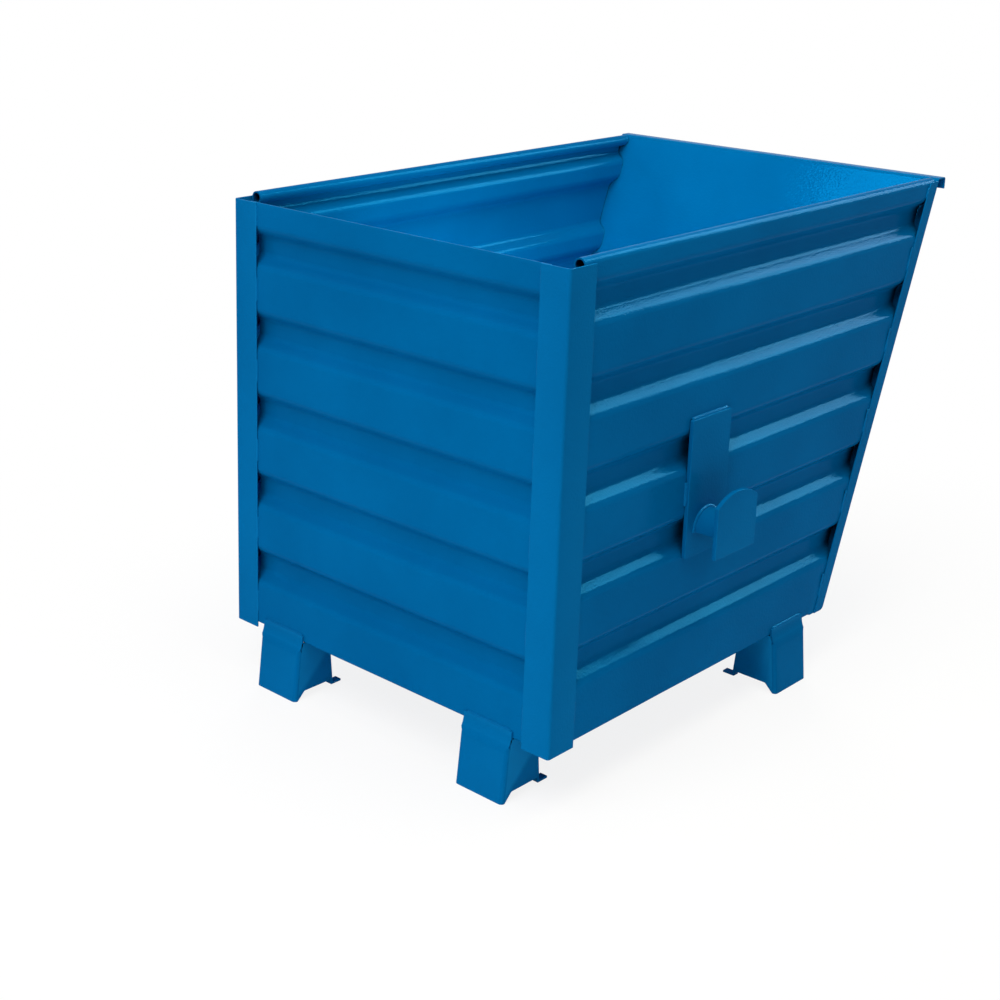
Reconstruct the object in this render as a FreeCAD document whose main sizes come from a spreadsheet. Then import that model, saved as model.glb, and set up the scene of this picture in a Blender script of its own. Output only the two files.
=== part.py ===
"""Stackable tipping skip of welded sheet steel.

The frame: +X runs from the back wall to the chute, +Y to the far side, +Z up. The origin lies on the ground,
midway between the two sides and midway between the back feet and the chute's lip. Sizes are millimetres.
"""
import FreeCAD, Part
import enum
import math
import os

import Sketcher

# Driving dimensions: name, millimetres (or a count), and what it measures.
DIMENSIONS = [
    ("body_length", 1200.0, "back corner angles to the chute's top edge line"),
    ("body_width", 800.0, "over the corner angles"),
    ("base_length", 879.0, "back corner angles to the chute at the panels' bottom edge"),
    ("foot_drop", 118.0, "ground to the panels' bottom edge"),
    ("wall_height", 842.0, "panels' bottom edge to the back wall's top edge"),
    ("rim_rise", 10.0, "rim bead above the back wall's top edge"),
    ("wall_sheet", 3.0, "sheet of the back wall and side panels"),
    ("angle_sheet", 3.0, "sheet of the corner angles and of the chute's side flanges"),
    ("floor_sheet", 4.0, "floor plate"),
    ("chute_sheet", 3.0, "chute plate"),
    ("fit_clearance", 0.3, "room between pieces that are fitted before welding"),
    ("groove_count", 5.0, "pressed grooves in each corrugated panel"),
    ("groove_width", 70.0, "mouth of a groove"),
    ("groove_depth", 22.0, "depth of a groove"),
    ("groove_flank", 18.0, "height of a groove's slanted flank"),
    ("groove_radius", 14.0, "inside bend radius of a groove"),
    ("back_groove_drop", 85.0, "back wall's top edge down to its first groove's middle"),
    ("back_groove_rise", 123.0, "panels' bottom edge up to the back wall's last groove's middle"),
    ("side_groove_drop", 66.0, "back wall's top level down to a side panel's first groove's middle"),
    ("side_groove_rise", 142.0, "panels' bottom edge up to a side panel's last groove's middle"),
    ("bottom_flange", 36.0, "inward flange along the panels' bottom edges"),
    ("flange_room", 3.0, "room between a back wall flange and the end of a side panel"),
    ("fold_radius", 3.0, "inside radius of the plain folds"),
    ("bead_diameter", 24.0, "rolled rim of the side panels"),
    ("bead_gap", 3.0, "gap between the rolled rim's edge and its panel"),
    ("angle_back_leg", 60.0, "corner angle's leg on the back wall"),
    ("angle_side_leg", 68.0, "corner angle's leg on the side panel"),
    ("angle_drop", 8.0, "corner angle's end below the panels' bottom edge"),
    ("chute_setback", 5.0, "chute plate's top behind the body's end"),
    ("chute_flange", 28.0, "chute's side flange over the side panel"),
    ("chute_flange_radius", 18.0, "round lower corner of the chute's side flange"),
    ("chute_tail", 45.0, "chute's tail under the floor"),
    ("chute_bend_radius", 12.0, "inside radius of the bend into the tail"),
    ("chute_bend_rise", 26.0, "tail piece of the chute up to the full-width plate"),
    ("lip_reach", 20.5, "chute's lip in front of the body's end"),
    ("lip_drop", 24.0, "chute's lip, hanging part"),
    ("foot_width", 110.0, "foot along the wall"),
    ("foot_sheet", 4.0, "sheet of the feet"),
    ("foot_lap", 15.0, "foot's lap over the wall"),
    ("foot_joggle", 9.0, "outward step of the foot's plate"),
    ("foot_joggle_height", 18.0, "height of that step"),
    ("foot_flare", 10.5, "outward lean of the foot's plate below the step"),
    ("foot_return", 4.0, "foot's folded edge that reaches the ground"),
    ("foot_arch_run", 18.0, "slanted end of the arch in the foot's webs"),
    ("foot_web_rise", 17.0, "arch of the foot's webs above the ground"),
    ("foot_relief", 12.0, "notch at the top of the foot's webs"),
    ("foot_depth_top", 68.0, "wall's outer face to the foot's rear, at its top"),
    ("foot_depth_bottom", 79.0, "wall's outer face to the foot's rear, at its bottom"),
    ("foot_rear_flange", 15.0, "inward flange at the rear of the foot's webs"),
    ("foot_tab", 21.0, "level tab at the foot's rear"),
    ("foot_tab_rise", 6.0, "that tab above the ground"),
    ("foot_fold_radius", 8.0, "outside radius of the foot's upright folds"),
    ("back_foot_inset", 136.0, "side of the skip to the middle of a back foot"),
    ("side_foot_setback", 136.0, "chute at the panels' bottom edge to the middle of a side foot"),
    ("trunnion_station", 420.0, "back corner angles to the trunnion's axis"),
    ("trunnion_rise", 305.0, "panels' bottom edge to the trunnion's axis"),
    ("strap_width", 119.0, "trunnion strap along the panel"),
    ("strap_sheet", 8.0, "trunnion strap's thickness"),
    ("strap_above", 212.0, "trunnion's axis to the strap's top"),
    ("strap_below", 48.0, "trunnion's axis to the strap's bottom"),
    ("saddle_radius", 38.0, "half tube's outside radius"),
    ("saddle_sheet", 6.0, "half tube's wall"),
    ("saddle_length", 57.0, "half tube between strap and ear"),
    ("ear_width", 124.0, "trunnion ear along the panel"),
    ("ear_sheet", 8.0, "trunnion ear's thickness"),
    ("ear_above", 86.0, "trunnion's axis to the ear's crown"),
    ("ear_below", 31.0, "trunnion's axis to the ear's bottom"),
    ("ear_crown_radius", 103.0, "ear's arched top"),
    ("stitch_length", 40.0, "stitch weld on a flat between grooves"),
    ("stitch_margin", 8.0, "least bare metal at each end of a weld"),
    ("least_stitch", 20.0, "shortest stitch weld that is laid"),
    ("plate_weld", 5.0, "leg of the welds on the thick plates"),
]

Side = enum.IntEnum("Side", {"NEAR": -1, "FAR": 1})
Point = enum.IntEnum("Point", ("START", "END", "CENTRE"))
Axis = enum.IntEnum("Axis", {"LEVEL": -1})
MATCH = 0.01


class Size:
    """A length that carries both its number and the spreadsheet formula behind it."""

    def __init__(self, formula, number):
        self.formula = formula
        self.number = number

    @staticmethod
    def of(value):
        return value if isinstance(value, Size) else Size(repr(float(value)), float(value))

    def __add__(self, other):
        other = Size.of(other)
        return Size(f"({self.formula} + {other.formula})", self.number + other.number)

    def __sub__(self, other):
        other = Size.of(other)
        return Size(f"({self.formula} - {other.formula})", self.number - other.number)

    def __mul__(self, other):
        other = Size.of(other)
        return Size(f"({self.formula} * {other.formula})", self.number * other.number)

    def __truediv__(self, other):
        other = Size.of(other)
        return Size(f"({self.formula} / {other.formula})", self.number / other.number)

    def __neg__(self):
        return Size(f"(-1 * {self.formula})", -self.number)


def root_of_squares(one, two):
    """Length of the slanted side over two square legs."""
    formula = f"sqrt({one.formula} * {one.formula} + {two.formula} * {two.formula})"
    return Size(formula, math.hypot(one.number, two.number))


def half_angle_tangent(rise, run):
    """Tangent of half the angle whose own tangent is rise over run."""
    formula = f"tan(atan({rise.formula} / {run.formula}) / 2)"
    return Size(formula, math.tan(math.atan(rise.number / run.number) / 2))


class Dimensions:
    """The spreadsheet's cells as named sizes."""

    def __init__(self, sheet):
        for row, (name, number, note) in enumerate(DIMENSIONS, start=1):
            sheet.set(f"A{row}", name)
            sheet.set(f"B{row}", str(number))
            sheet.setAlias(f"B{row}", name)
            sheet.set(f"C{row}", note)
            setattr(self, name, Size(f"Sizes.{name}", number))


document = FreeCAD.newDocument("TippingSkip")
sheet = document.addObject("Spreadsheet::Sheet", "Sizes")
dim = Dimensions(sheet)
document.recompute()
subparts = []

# Places that several pieces share.
back_face = -dim.body_length / 2
side_face = dim.body_width / 2
front_face = dim.body_length / 2
panel_bottom = dim.foot_drop
wall_top = panel_bottom + dim.wall_height
rim_top = wall_top + dim.rim_rise
back_panel_face = back_face + dim.angle_sheet
side_panel_face = side_face - dim.angle_sheet
panel_inset = dim.angle_sheet + dim.bottom_flange + dim.flange_room
floor_seat = panel_bottom + dim.wall_sheet
groove_shift = dim.wall_sheet * half_angle_tangent(dim.groove_depth, dim.groove_flank)

# The chute's plane, given by its outer face.
chute_foot = back_face + dim.base_length
chute_run = front_face - dim.chute_setback - chute_foot
chute_rise = rim_top - panel_bottom
chute_plate_run = dim.chute_sheet * root_of_squares(chute_run, chute_rise) / chute_rise


def chute_outer(level):
    """X of the chute's outer face at a level."""
    return chute_foot + (level - panel_bottom) * chute_run / chute_rise


def chute_inner(level):
    """X of the chute's inner face at a level."""
    return chute_outer(level) - chute_plate_run


def new_body(label):
    """Start a named sub-part."""
    body = document.addObject("PartDesign::Body", label)
    body.Label = label
    subparts.append(body)
    return body


def new_sketch(body, plane, distance=None):
    """Add a sketch on one of the body's own planes, or at a distance along that plane's normal."""
    sketch = body.newObject("Sketcher::SketchObject", body.Label + "_sketch")
    support = [feature for feature in body.Origin.OriginFeatures if feature.Role == plane]
    sketch.AttachmentSupport = [(support[0], "")]
    sketch.MapMode = "FlatFace"
    if distance is not None:
        sketch.setExpression("AttachmentOffset.Base.z", distance.formula)
    return sketch


def constrain(sketch, constraint, size):
    """Add a constraint whose value follows the spreadsheet."""
    index = sketch.addConstraint(constraint)
    sketch.setExpression(f"Constraints[{index}]", size.formula)


def place_point(sketch, line, end, across, up):
    """Hold a point of a sketch at two sizes from the sketch's origin."""
    for kind, size in (("DistanceX", across), ("DistanceY", up)):
        held = Sketcher.Constraint(kind, Axis.LEVEL, Point.START, line, end, size.number)
        constrain(sketch, held, size)


def draw_polygon(sketch, corners):
    """Draw a closed outline through corners given as pairs of sizes."""
    count = len(corners)
    points = [FreeCAD.Vector(across.number, up.number, 0) for across, up in corners]
    for index in range(count):
        sketch.addGeometry(Part.LineSegment(points[index], points[(index + 1) % count]), False)
    for index in range(count):
        following = (index + 1) % count
        sketch.addConstraint(Sketcher.Constraint("Coincident", index, Point.END, following, Point.START))
    for index, (across, up) in enumerate(corners):
        place_point(sketch, index, Point.START, across, up)


def draw_circle(sketch, across, up, radius):
    """Draw a circle about a point given as two sizes."""
    centre = FreeCAD.Vector(across.number, up.number, 0)
    index = sketch.addGeometry(Part.Circle(centre, FreeCAD.Vector(0, 0, 1), radius.number), False)
    place_point(sketch, index, Point.CENTRE, across, up)
    constrain(sketch, Sketcher.Constraint("Radius", index, radius.number), radius)


def pad(body, sketch, length, symmetric=False, backwards=False):
    """Thicken a sketch into the body."""
    feature = body.newObject("PartDesign::Pad", body.Label + "_pad")
    feature.Profile = sketch
    feature.SideType = "Symmetric" if symmetric else "One side"
    feature.Reversed = backwards
    feature.setExpression("Length", length.formula)
    sketch.Visibility = False
    document.recompute()
    return feature


def pocket_through(body, sketch):
    """Cut a sketch through the whole body, to both sides of its plane."""
    feature = body.newObject("PartDesign::Pocket", body.Label + "_pocket")
    feature.Profile = sketch
    feature.SideType = "Symmetric"
    feature.Type = "ThroughAll"
    document.recompute()
    return feature


def bind_place(piece, place):
    """Tie a piece's place to the spreadsheet."""
    for axis, size in zip("xyz", place):
        piece.setExpression(f"Placement.Base.{axis}", size.formula)


def bind_box(box, place, lengths):
    """Tie a block's place and sides to the spreadsheet."""
    bind_place(box, place)
    for name, size in zip(("Length", "Width", "Height"), lengths):
        box.setExpression(name, size.formula)


def edges_at(shape, axes, corners, least_length):
    """Names of the straight edges that run square to a sketch through some of its corners."""
    first, second = axes
    names = []
    for index, edge in enumerate(shape.Edges, start=1):
        if edge.Length < least_length or not isinstance(edge.Curve, Part.Line):
            continue
        ends = [vertex.Point for vertex in edge.Vertexes]
        for across, up in corners:
            offsets = [abs(end[first] - across.number) for end in ends]
            offsets += [abs(end[second] - up.number) for end in ends]
            if max(offsets) < MATCH:
                names.append(f"Edge{index}")
                break
    return names


def fold(body, axes, corners, radius, least_length=1.0):
    """Round the edges that stand on some of a profile's corners."""
    base = body.Tip
    names = edges_at(base.Shape, axes, corners, least_length)
    if not names:
        raise RuntimeError(f"{body.Label}: no edge to fold")
    feature = body.newObject("PartDesign::Fillet", body.Label + "_fold")
    feature.Base = (base, names)
    feature.setExpression("Radius", radius.formula)
    document.recompute()
    return feature


def groove_levels(drop, rise):
    """Levels of a panel's groove middles, from the top one down."""
    spaces = dim.groove_count - 1
    pitch = (dim.wall_height - drop - rise) / spaces
    return [wall_top - drop - pitch * number for number in range(round(dim.groove_count.number))]


back_grooves = groove_levels(dim.back_groove_drop, dim.back_groove_rise)
side_grooves = groove_levels(dim.side_groove_drop, dim.side_groove_rise)


class PanelProfile:
    """Upright section of a grooved panel: its outer face, its inner face and the corners of its folds."""

    def __init__(self, face, inward, top, grooves):
        self.face = face
        self.inner = face + dim.wall_sheet * inward
        self.inward = inward
        self.top = top
        self.outer_corners = []
        self.inner_corners = []
        self.tight_folds = []
        self.wide_folds = []
        for middle in grooves:
            self._add_groove(middle)

    def _add_groove(self, middle):
        half = dim.groove_width / 2
        floor = self.face + dim.groove_depth * self.inward
        inner_floor = self.inner + dim.groove_depth * self.inward
        mouth_levels = (middle + half, middle - half)
        floor_levels = (middle + half - dim.groove_flank, middle - half + dim.groove_flank)
        shifts = (groove_shift, -groove_shift)
        mouth = [(self.face, level) for level in mouth_levels]
        bed = [(floor, level) for level in floor_levels]
        inner_mouth = [(self.inner, level + shift) for level, shift in zip(mouth_levels, shifts)]
        inner_bed = [(inner_floor, level + shift) for level, shift in zip(floor_levels, shifts)]
        self.outer_corners += [mouth[0], bed[0], bed[1], mouth[1]]
        self.inner_corners += [inner_mouth[0], inner_bed[0], inner_bed[1], inner_mouth[1]]
        self.tight_folds += inner_mouth + bed
        self.wide_folds += mouth + inner_bed

    def outline(self):
        """Closed outline, from the top of the outer face down, round the flange and up the inner face."""
        tip = self.face + dim.bottom_flange * self.inward
        bottom = [(self.face, panel_bottom), (tip, panel_bottom), (tip, floor_seat), (self.inner, floor_seat)]
        outer = [(self.face, self.top)] + self.outer_corners
        inner = list(reversed(self.inner_corners)) + [(self.inner, self.top)]
        return outer + bottom + inner

    def fold_all(self, body, axes):
        """Round every fold of the panel, inside and outside radii in step."""
        fold(body, axes, self.tight_folds, dim.groove_radius)
        fold(body, axes, self.wide_folds, dim.groove_radius + dim.wall_sheet)
        fold(body, axes, [(self.inner, floor_seat)], dim.fold_radius)
        fold(body, axes, [(self.face, panel_bottom)], dim.fold_radius + dim.wall_sheet)


def build_back_wall():
    """Corrugated back wall between the two corner angles."""
    body = new_body("back_wall")
    profile = PanelProfile(back_panel_face, 1, wall_top, back_grooves)
    sketch = new_sketch(body, "XZ_Plane")
    draw_polygon(sketch, profile.outline())
    pad(body, sketch, dim.body_width - panel_inset * 2, symmetric=True)
    profile.fold_all(body, (0, 2))


def build_side_panel(label, side):
    """Corrugated side panel with its rolled rim, cut off along the chute."""
    body = new_body(label)
    face = side_panel_face * side
    inward = -side
    bead_radius = dim.bead_diameter / 2
    bead_level = rim_top - bead_radius
    bead_middle = face + bead_radius * inward
    start = back_face + panel_inset
    length = front_face - start
    profile = PanelProfile(face, inward, bead_level, side_grooves)

    wall = new_sketch(body, "YZ_Plane", start)
    draw_polygon(wall, profile.outline())
    pad(body, wall, length)
    profile.fold_all(body, (1, 2))

    bead = new_sketch(body, "YZ_Plane", start)
    draw_circle(bead, bead_middle, bead_level, bead_radius)
    draw_circle(bead, bead_middle, bead_level, bead_radius - dim.wall_sheet)
    pad(body, bead, length)

    inner = profile.inner
    open_edge = inner + dim.bead_gap * inward
    below = bead_level - bead_radius
    gap = new_sketch(body, "YZ_Plane", start)
    draw_polygon(gap, [(inner, below), (open_edge, below), (open_edge, bead_level), (inner, bead_level)])
    pocket_through(body, gap)

    chute_cut = new_sketch(body, "XZ_Plane")
    beyond = front_face + dim.chute_flange
    bottom = panel_bottom - dim.wall_sheet
    top = rim_top + dim.wall_sheet
    draw_polygon(chute_cut, [(chute_inner(bottom), bottom), (beyond, bottom),
                             (beyond, top), (chute_inner(top), top)])
    pocket_through(body, chute_cut)

    tail_cut = new_sketch(body, "XY_Plane", panel_bottom)
    tail_start = chute_inner(floor_seat) - dim.chute_tail - dim.flange_room
    near_edge = face + dim.wall_sheet * inward
    far_edge = face + (dim.bottom_flange + dim.flange_room) * inward
    draw_polygon(tail_cut, [(tail_start, near_edge), (front_face, near_edge),
                            (front_face, far_edge), (tail_start, far_edge)])
    notch = body.newObject("PartDesign::Pocket", label + "_notch")
    notch.Profile = tail_cut
    notch.Reversed = True
    notch.setExpression("Length", (dim.wall_sheet + dim.fold_radius).formula)
    document.recompute()


def build_floor_pan():
    """Flat floor on the bottom flanges of the panels and on the chute's tail."""
    floor = document.addObject("Part::Box", "floor_pan")
    floor.Label = "floor_pan"
    rear = back_panel_face + dim.wall_sheet + dim.fold_radius + dim.fit_clearance
    front = chute_inner(floor_seat) - dim.chute_bend_radius
    half = side_panel_face - dim.wall_sheet - dim.fold_radius - dim.fit_clearance
    bind_box(floor, (rear, -half, floor_seat), (front - rear, half * 2, dim.floor_sheet))
    subparts.append(floor)


def build_chute_wall():
    """Sloping chute plate with its tail under the floor, its hanging lip and its two side flanges."""
    body = new_body("chute_wall")
    plate_bottom = panel_bottom + dim.chute_bend_rise
    tail_end = chute_inner(floor_seat) - dim.chute_tail
    tail_top = panel_bottom + dim.chute_sheet
    between_panels = (side_panel_face - dim.wall_sheet - dim.fit_clearance) * 2

    tail = new_sketch(body, "XZ_Plane")
    inner_bend = (chute_inner(tail_top), tail_top)
    outer_bend = (chute_outer(panel_bottom), panel_bottom)
    draw_polygon(tail, [(tail_end, panel_bottom), outer_bend, (chute_outer(plate_bottom), plate_bottom),
                        (chute_inner(plate_bottom), plate_bottom), inner_bend, (tail_end, tail_top)])
    pad(body, tail, between_panels, symmetric=True)
    fold(body, (0, 2), [inner_bend], dim.chute_bend_radius)
    fold(body, (0, 2), [outer_bend], dim.chute_bend_radius + dim.chute_sheet)

    plate = new_sketch(body, "XZ_Plane")
    lip_top = rim_top
    lip_under = rim_top - dim.chute_sheet
    lip_face = front_face + dim.lip_reach
    lip_back = lip_face - dim.chute_sheet
    lip_end = rim_top - dim.lip_drop
    inner_top = (chute_inner(lip_top), lip_top)
    outer_top = (chute_outer(lip_under), lip_under)
    nose = (lip_face, lip_top)
    nose_inside = (lip_back, lip_under)
    draw_polygon(plate, [(chute_inner(plate_bottom), plate_bottom), (chute_outer(plate_bottom), plate_bottom),
                         outer_top, nose_inside, (lip_back, lip_end), (lip_face, lip_end), nose, inner_top])
    pad(body, plate, dim.body_width, symmetric=True)
    fold(body, (0, 2), [outer_top, nose_inside], dim.fold_radius)
    fold(body, (0, 2), [inner_top, nose], dim.fold_radius + dim.chute_sheet)

    flange_top = lip_under - dim.fold_radius
    for side in (Side.NEAR, Side.FAR):
        flange = new_sketch(body, "XZ_Plane", side_face * -side)
        lower_corner = (chute_outer(panel_bottom), panel_bottom)
        draw_polygon(flange, [(chute_inner(panel_bottom) - dim.chute_flange, panel_bottom), lower_corner,
                              (chute_outer(flange_top), flange_top),
                              (chute_inner(flange_top) - dim.chute_flange, flange_top)])
        pad(body, flange, dim.angle_sheet, backwards=(side == Side.NEAR))
        short = dim.angle_sheet.number - MATCH
        fold(body, (0, 2), [lower_corner], dim.chute_flange_radius, short)


def build_corner_angle(label, side):
    """Folded angle over a back corner, standing a little below the panels."""
    body = new_body(label)
    outer = side_face * side
    inner = side_panel_face * side
    back_end = (side_face - dim.angle_back_leg) * side
    side_end = back_face + dim.angle_side_leg
    sketch = new_sketch(body, "XY_Plane", panel_bottom - dim.angle_drop)
    outer_corner = (back_face, outer)
    inner_corner = (back_panel_face, inner)
    draw_polygon(sketch, [outer_corner, (side_end, outer), (side_end, inner), inner_corner,
                          (back_panel_face, back_end), (back_face, back_end)])
    pad(body, sketch, dim.wall_height + dim.angle_drop)
    fold(body, (0, 1), [inner_corner], dim.fold_radius)
    fold(body, (0, 1), [outer_corner], dim.fold_radius + dim.angle_sheet)


def build_foot(label, place, turn):
    """Folded stacking foot: a stepped and flared plate, two arched webs, rear flanges with tabs.

    In its own frame +X points away from the wall, Y runs along it, and X is zero on the wall's outer face.
    """
    body = new_body(label)
    ground = panel_bottom * 0
    half_width = dim.foot_width / 2
    thick = dim.foot_sheet
    step_bottom = panel_bottom - dim.foot_joggle_height
    lap_top = panel_bottom + dim.foot_lap
    step_face = thick + dim.foot_joggle
    toe = step_face + dim.foot_flare

    front = new_sketch(body, "XZ_Plane")
    draw_polygon(front, [(step_face, step_bottom), (toe, ground), (toe - thick, ground),
                         (step_face - thick, step_bottom)])
    pad(body, front, dim.foot_width, symmetric=True)

    arch = dim.foot_web_rise
    arch_start = toe - thick - dim.foot_return
    depth_run = dim.foot_depth_bottom - dim.foot_depth_top

    def rear(level):
        """Rear face of the foot at a level."""
        return depth_run * level / panel_bottom - dim.foot_depth_bottom

    tab_bottom = dim.foot_tab_rise
    tab_top = tab_bottom + thick
    tab_end = -dim.foot_depth_bottom - dim.foot_tab
    for side in (Side.NEAR, Side.FAR):
        backwards = side == Side.FAR
        web = new_sketch(body, "XZ_Plane", (half_width - thick) * -side)
        draw_polygon(web, [(toe - thick, ground), (arch_start, ground), (arch_start - dim.foot_arch_run, arch),
                           (rear(arch), arch), (rear(panel_bottom), panel_bottom),
                           (-dim.foot_relief, panel_bottom), (-dim.foot_relief, step_bottom),
                           (step_face - thick, step_bottom)])
        pad(body, web, thick, backwards=backwards)
        flange = new_sketch(body, "XZ_Plane", (half_width - dim.foot_rear_flange) * -side)
        draw_polygon(flange, [(rear(panel_bottom) + thick, panel_bottom), (rear(panel_bottom), panel_bottom),
                              (rear(tab_top), tab_top), (tab_end, tab_top), (tab_end, tab_bottom),
                              (rear(tab_bottom) + thick, tab_bottom)])
        pad(body, flange, dim.foot_rear_flange, backwards=backwards)

    base = body.Tip
    rounding = body.newObject("PartDesign::Fillet", label + "_fold")
    rounding.Base = (base, front_corners(base.Shape, toe, half_width, arch))
    rounding.setExpression("Radius", dim.foot_fold_radius.formula)
    document.recompute()

    lap = new_sketch(body, "XZ_Plane")
    draw_polygon(lap, [(ground, lap_top), (thick, lap_top), (thick, panel_bottom), (step_face, step_bottom),
                       (step_face - thick, step_bottom), (ground, panel_bottom)])
    pad(body, lap, dim.foot_width, symmetric=True)
    body.Placement.Rotation = FreeCAD.Rotation(FreeCAD.Vector(0, 0, 1), turn)
    bind_place(body, place + (ground,))
    document.recompute()


def front_corners(shape, toe, half_width, least_height):
    """Names of a foot's two upright edges between its front plate and its webs."""
    names = []
    for index, edge in enumerate(shape.Edges, start=1):
        ends = [vertex.Point for vertex in edge.Vertexes]
        low, high = sorted(end.z for end in ends)
        on_side = all(abs(abs(end.y) - half_width.number) < MATCH for end in ends)
        reaches_toe = abs(max(end.x for end in ends) - toe.number) < MATCH
        if on_side and reaches_toe and low < MATCH and high > least_height.number:
            names.append(f"Edge{index}")
    return names


def new_primitive(kind, label):
    """Add a plain solid."""
    solid = document.addObject(kind, label)
    solid.Label = label
    return solid


def new_cylinder(label, radius, height, place, half=False):
    """Add a cylinder along -Y, or only its upper half."""
    cylinder = new_primitive("Part::Cylinder", label)
    cylinder.Angle = 180 if half else 360
    cylinder.setExpression("Radius", radius.formula)
    cylinder.setExpression("Height", height.formula)
    cylinder.Placement.Rotation = FreeCAD.Rotation(FreeCAD.Vector(1, 0, 0), 90)
    bind_place(cylinder, place)
    return cylinder


def join(kind, label, base, tool):
    """Combine two solids into a named sub-part."""
    result = new_primitive(kind, label)
    result.Base = base
    result.Tool = tool
    subparts.append(result)
    return result


trunnion_x = back_face + dim.trunnion_station
trunnion_z = panel_bottom + dim.trunnion_rise
strap_face = side_panel_face + dim.strap_sheet
ear_seat = strap_face + dim.saddle_length
ear_face = ear_seat + dim.ear_sheet


def lower_y(side, inner, outer):
    """The lower Y of a piece that lies between two distances from the middle plane."""
    return inner if side == Side.FAR else -outer


def upper_y(side, inner, outer):
    """The upper Y of a piece that lies between two distances from the middle plane."""
    return outer if side == Side.FAR else -inner


def build_trunnion(name, side):
    """Strap, half-tube saddle and arched ear that a lifting arm takes hold of."""
    strap = new_primitive("Part::Box", "trunnion_strap_" + name)
    place = (trunnion_x - dim.strap_width / 2, lower_y(side, side_panel_face, strap_face),
             trunnion_z - dim.strap_below)
    bind_box(strap, place, (dim.strap_width, dim.strap_sheet, dim.strap_below + dim.strap_above))
    subparts.append(strap)

    saddle_place = (trunnion_x, upper_y(side, strap_face, ear_seat), trunnion_z)
    tube = new_cylinder("saddle_tube_" + name, dim.saddle_radius, dim.saddle_length, saddle_place, half=True)
    bore = new_cylinder("saddle_bore_" + name, dim.saddle_radius - dim.saddle_sheet, dim.saddle_length,
                        saddle_place)
    join("Part::Cut", "trunnion_saddle_" + name, tube, bore)

    blank = new_primitive("Part::Box", "ear_blank_" + name)
    blank_place = (trunnion_x - dim.ear_width / 2, lower_y(side, ear_seat, ear_face),
                   trunnion_z - dim.ear_below)
    bind_box(blank, blank_place, (dim.ear_width, dim.ear_sheet, dim.ear_below + dim.ear_above))
    crown_place = (trunnion_x, upper_y(side, ear_seat, ear_face),
                   trunnion_z + dim.ear_above - dim.ear_crown_radius)
    crown = new_cylinder("ear_crown_" + name, dim.ear_crown_radius, dim.ear_sheet, crown_place)
    join("Part::Common", "trunnion_ear_" + name, blank, crown)
    document.recompute()


def stitch_levels(grooves):
    """Bottom and top levels of the stitch welds, one in the middle of each flat beside a panel's grooves."""
    flats = []
    top = wall_top
    for middle in grooves:
        flats.append((middle + dim.groove_width / 2, top))
        top = middle - dim.groove_width / 2
    flats.append((panel_bottom + dim.fold_radius + dim.wall_sheet, top))
    levels = []
    for bottom, top in flats:
        middle = (bottom + top).number / 2
        room = (top - bottom - dim.stitch_margin * 2).number
        half = min(dim.stitch_length.number, room) / 2
        levels.append((middle - half, middle + half))
    return levels


def fillet_weld(start, end, leg_one, leg_two):
    """Three-sided weld bead along a line, with its two legs on the faces that it joins."""
    corners = [start, start + leg_one, start + leg_two, start]
    return Part.Face(Part.makePolygon(corners)).extrude(end - start)


def add_welds(label, beads):
    """Keep a group of weld beads as one sub-part."""
    group = document.addObject("Part::Feature", label)
    group.Label = label
    group.Shape = Part.makeCompound(beads)
    subparts.append(group)


back_stitches = stitch_levels(back_grooves)
side_stitches = stitch_levels(side_grooves)


def build_corner_welds(label, side):
    """Stitches along both legs of a corner angle, one on each flat of the panels."""
    leg = dim.angle_sheet.number
    outward = FreeCAD.Vector(0, side * leg, 0)
    towards_middle = FreeCAD.Vector(0, -side * leg, 0)
    backward = FreeCAD.Vector(-leg, 0, 0)
    forward = FreeCAD.Vector(leg, 0, 0)
    back_y = side * (side_face - dim.angle_back_leg).number
    side_x = (back_face + dim.angle_side_leg).number
    side_y = side * side_panel_face.number
    beads = []
    for bottom, top in back_stitches:
        low = FreeCAD.Vector(back_panel_face.number, back_y, bottom)
        high = FreeCAD.Vector(back_panel_face.number, back_y, top)
        beads.append(fillet_weld(low, high, backward, towards_middle))
    for bottom, top in side_stitches:
        low = FreeCAD.Vector(side_x, side_y, bottom)
        high = FreeCAD.Vector(side_x, side_y, top)
        beads.append(fillet_weld(low, high, outward, forward))
    add_welds(label, beads)


def build_chute_welds(label, side):
    """Stitches along the chute's side flange, one on each flat of the side panel."""
    leg = dim.angle_sheet.number
    outward = FreeCAD.Vector(0, side * leg, 0)
    backward = FreeCAD.Vector(-leg, 0, 0)
    side_y = side * side_panel_face.number
    beads = []
    for bottom, top in side_stitches:
        low_x = (chute_inner(Size.of(bottom)) - dim.chute_flange).number
        high_x = (chute_inner(Size.of(top)) - dim.chute_flange).number
        low = FreeCAD.Vector(low_x, side_y, bottom)
        high = FreeCAD.Vector(high_x, side_y, top)
        beads.append(fillet_weld(low, high, outward, backward))
    add_welds(label, beads)


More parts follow.
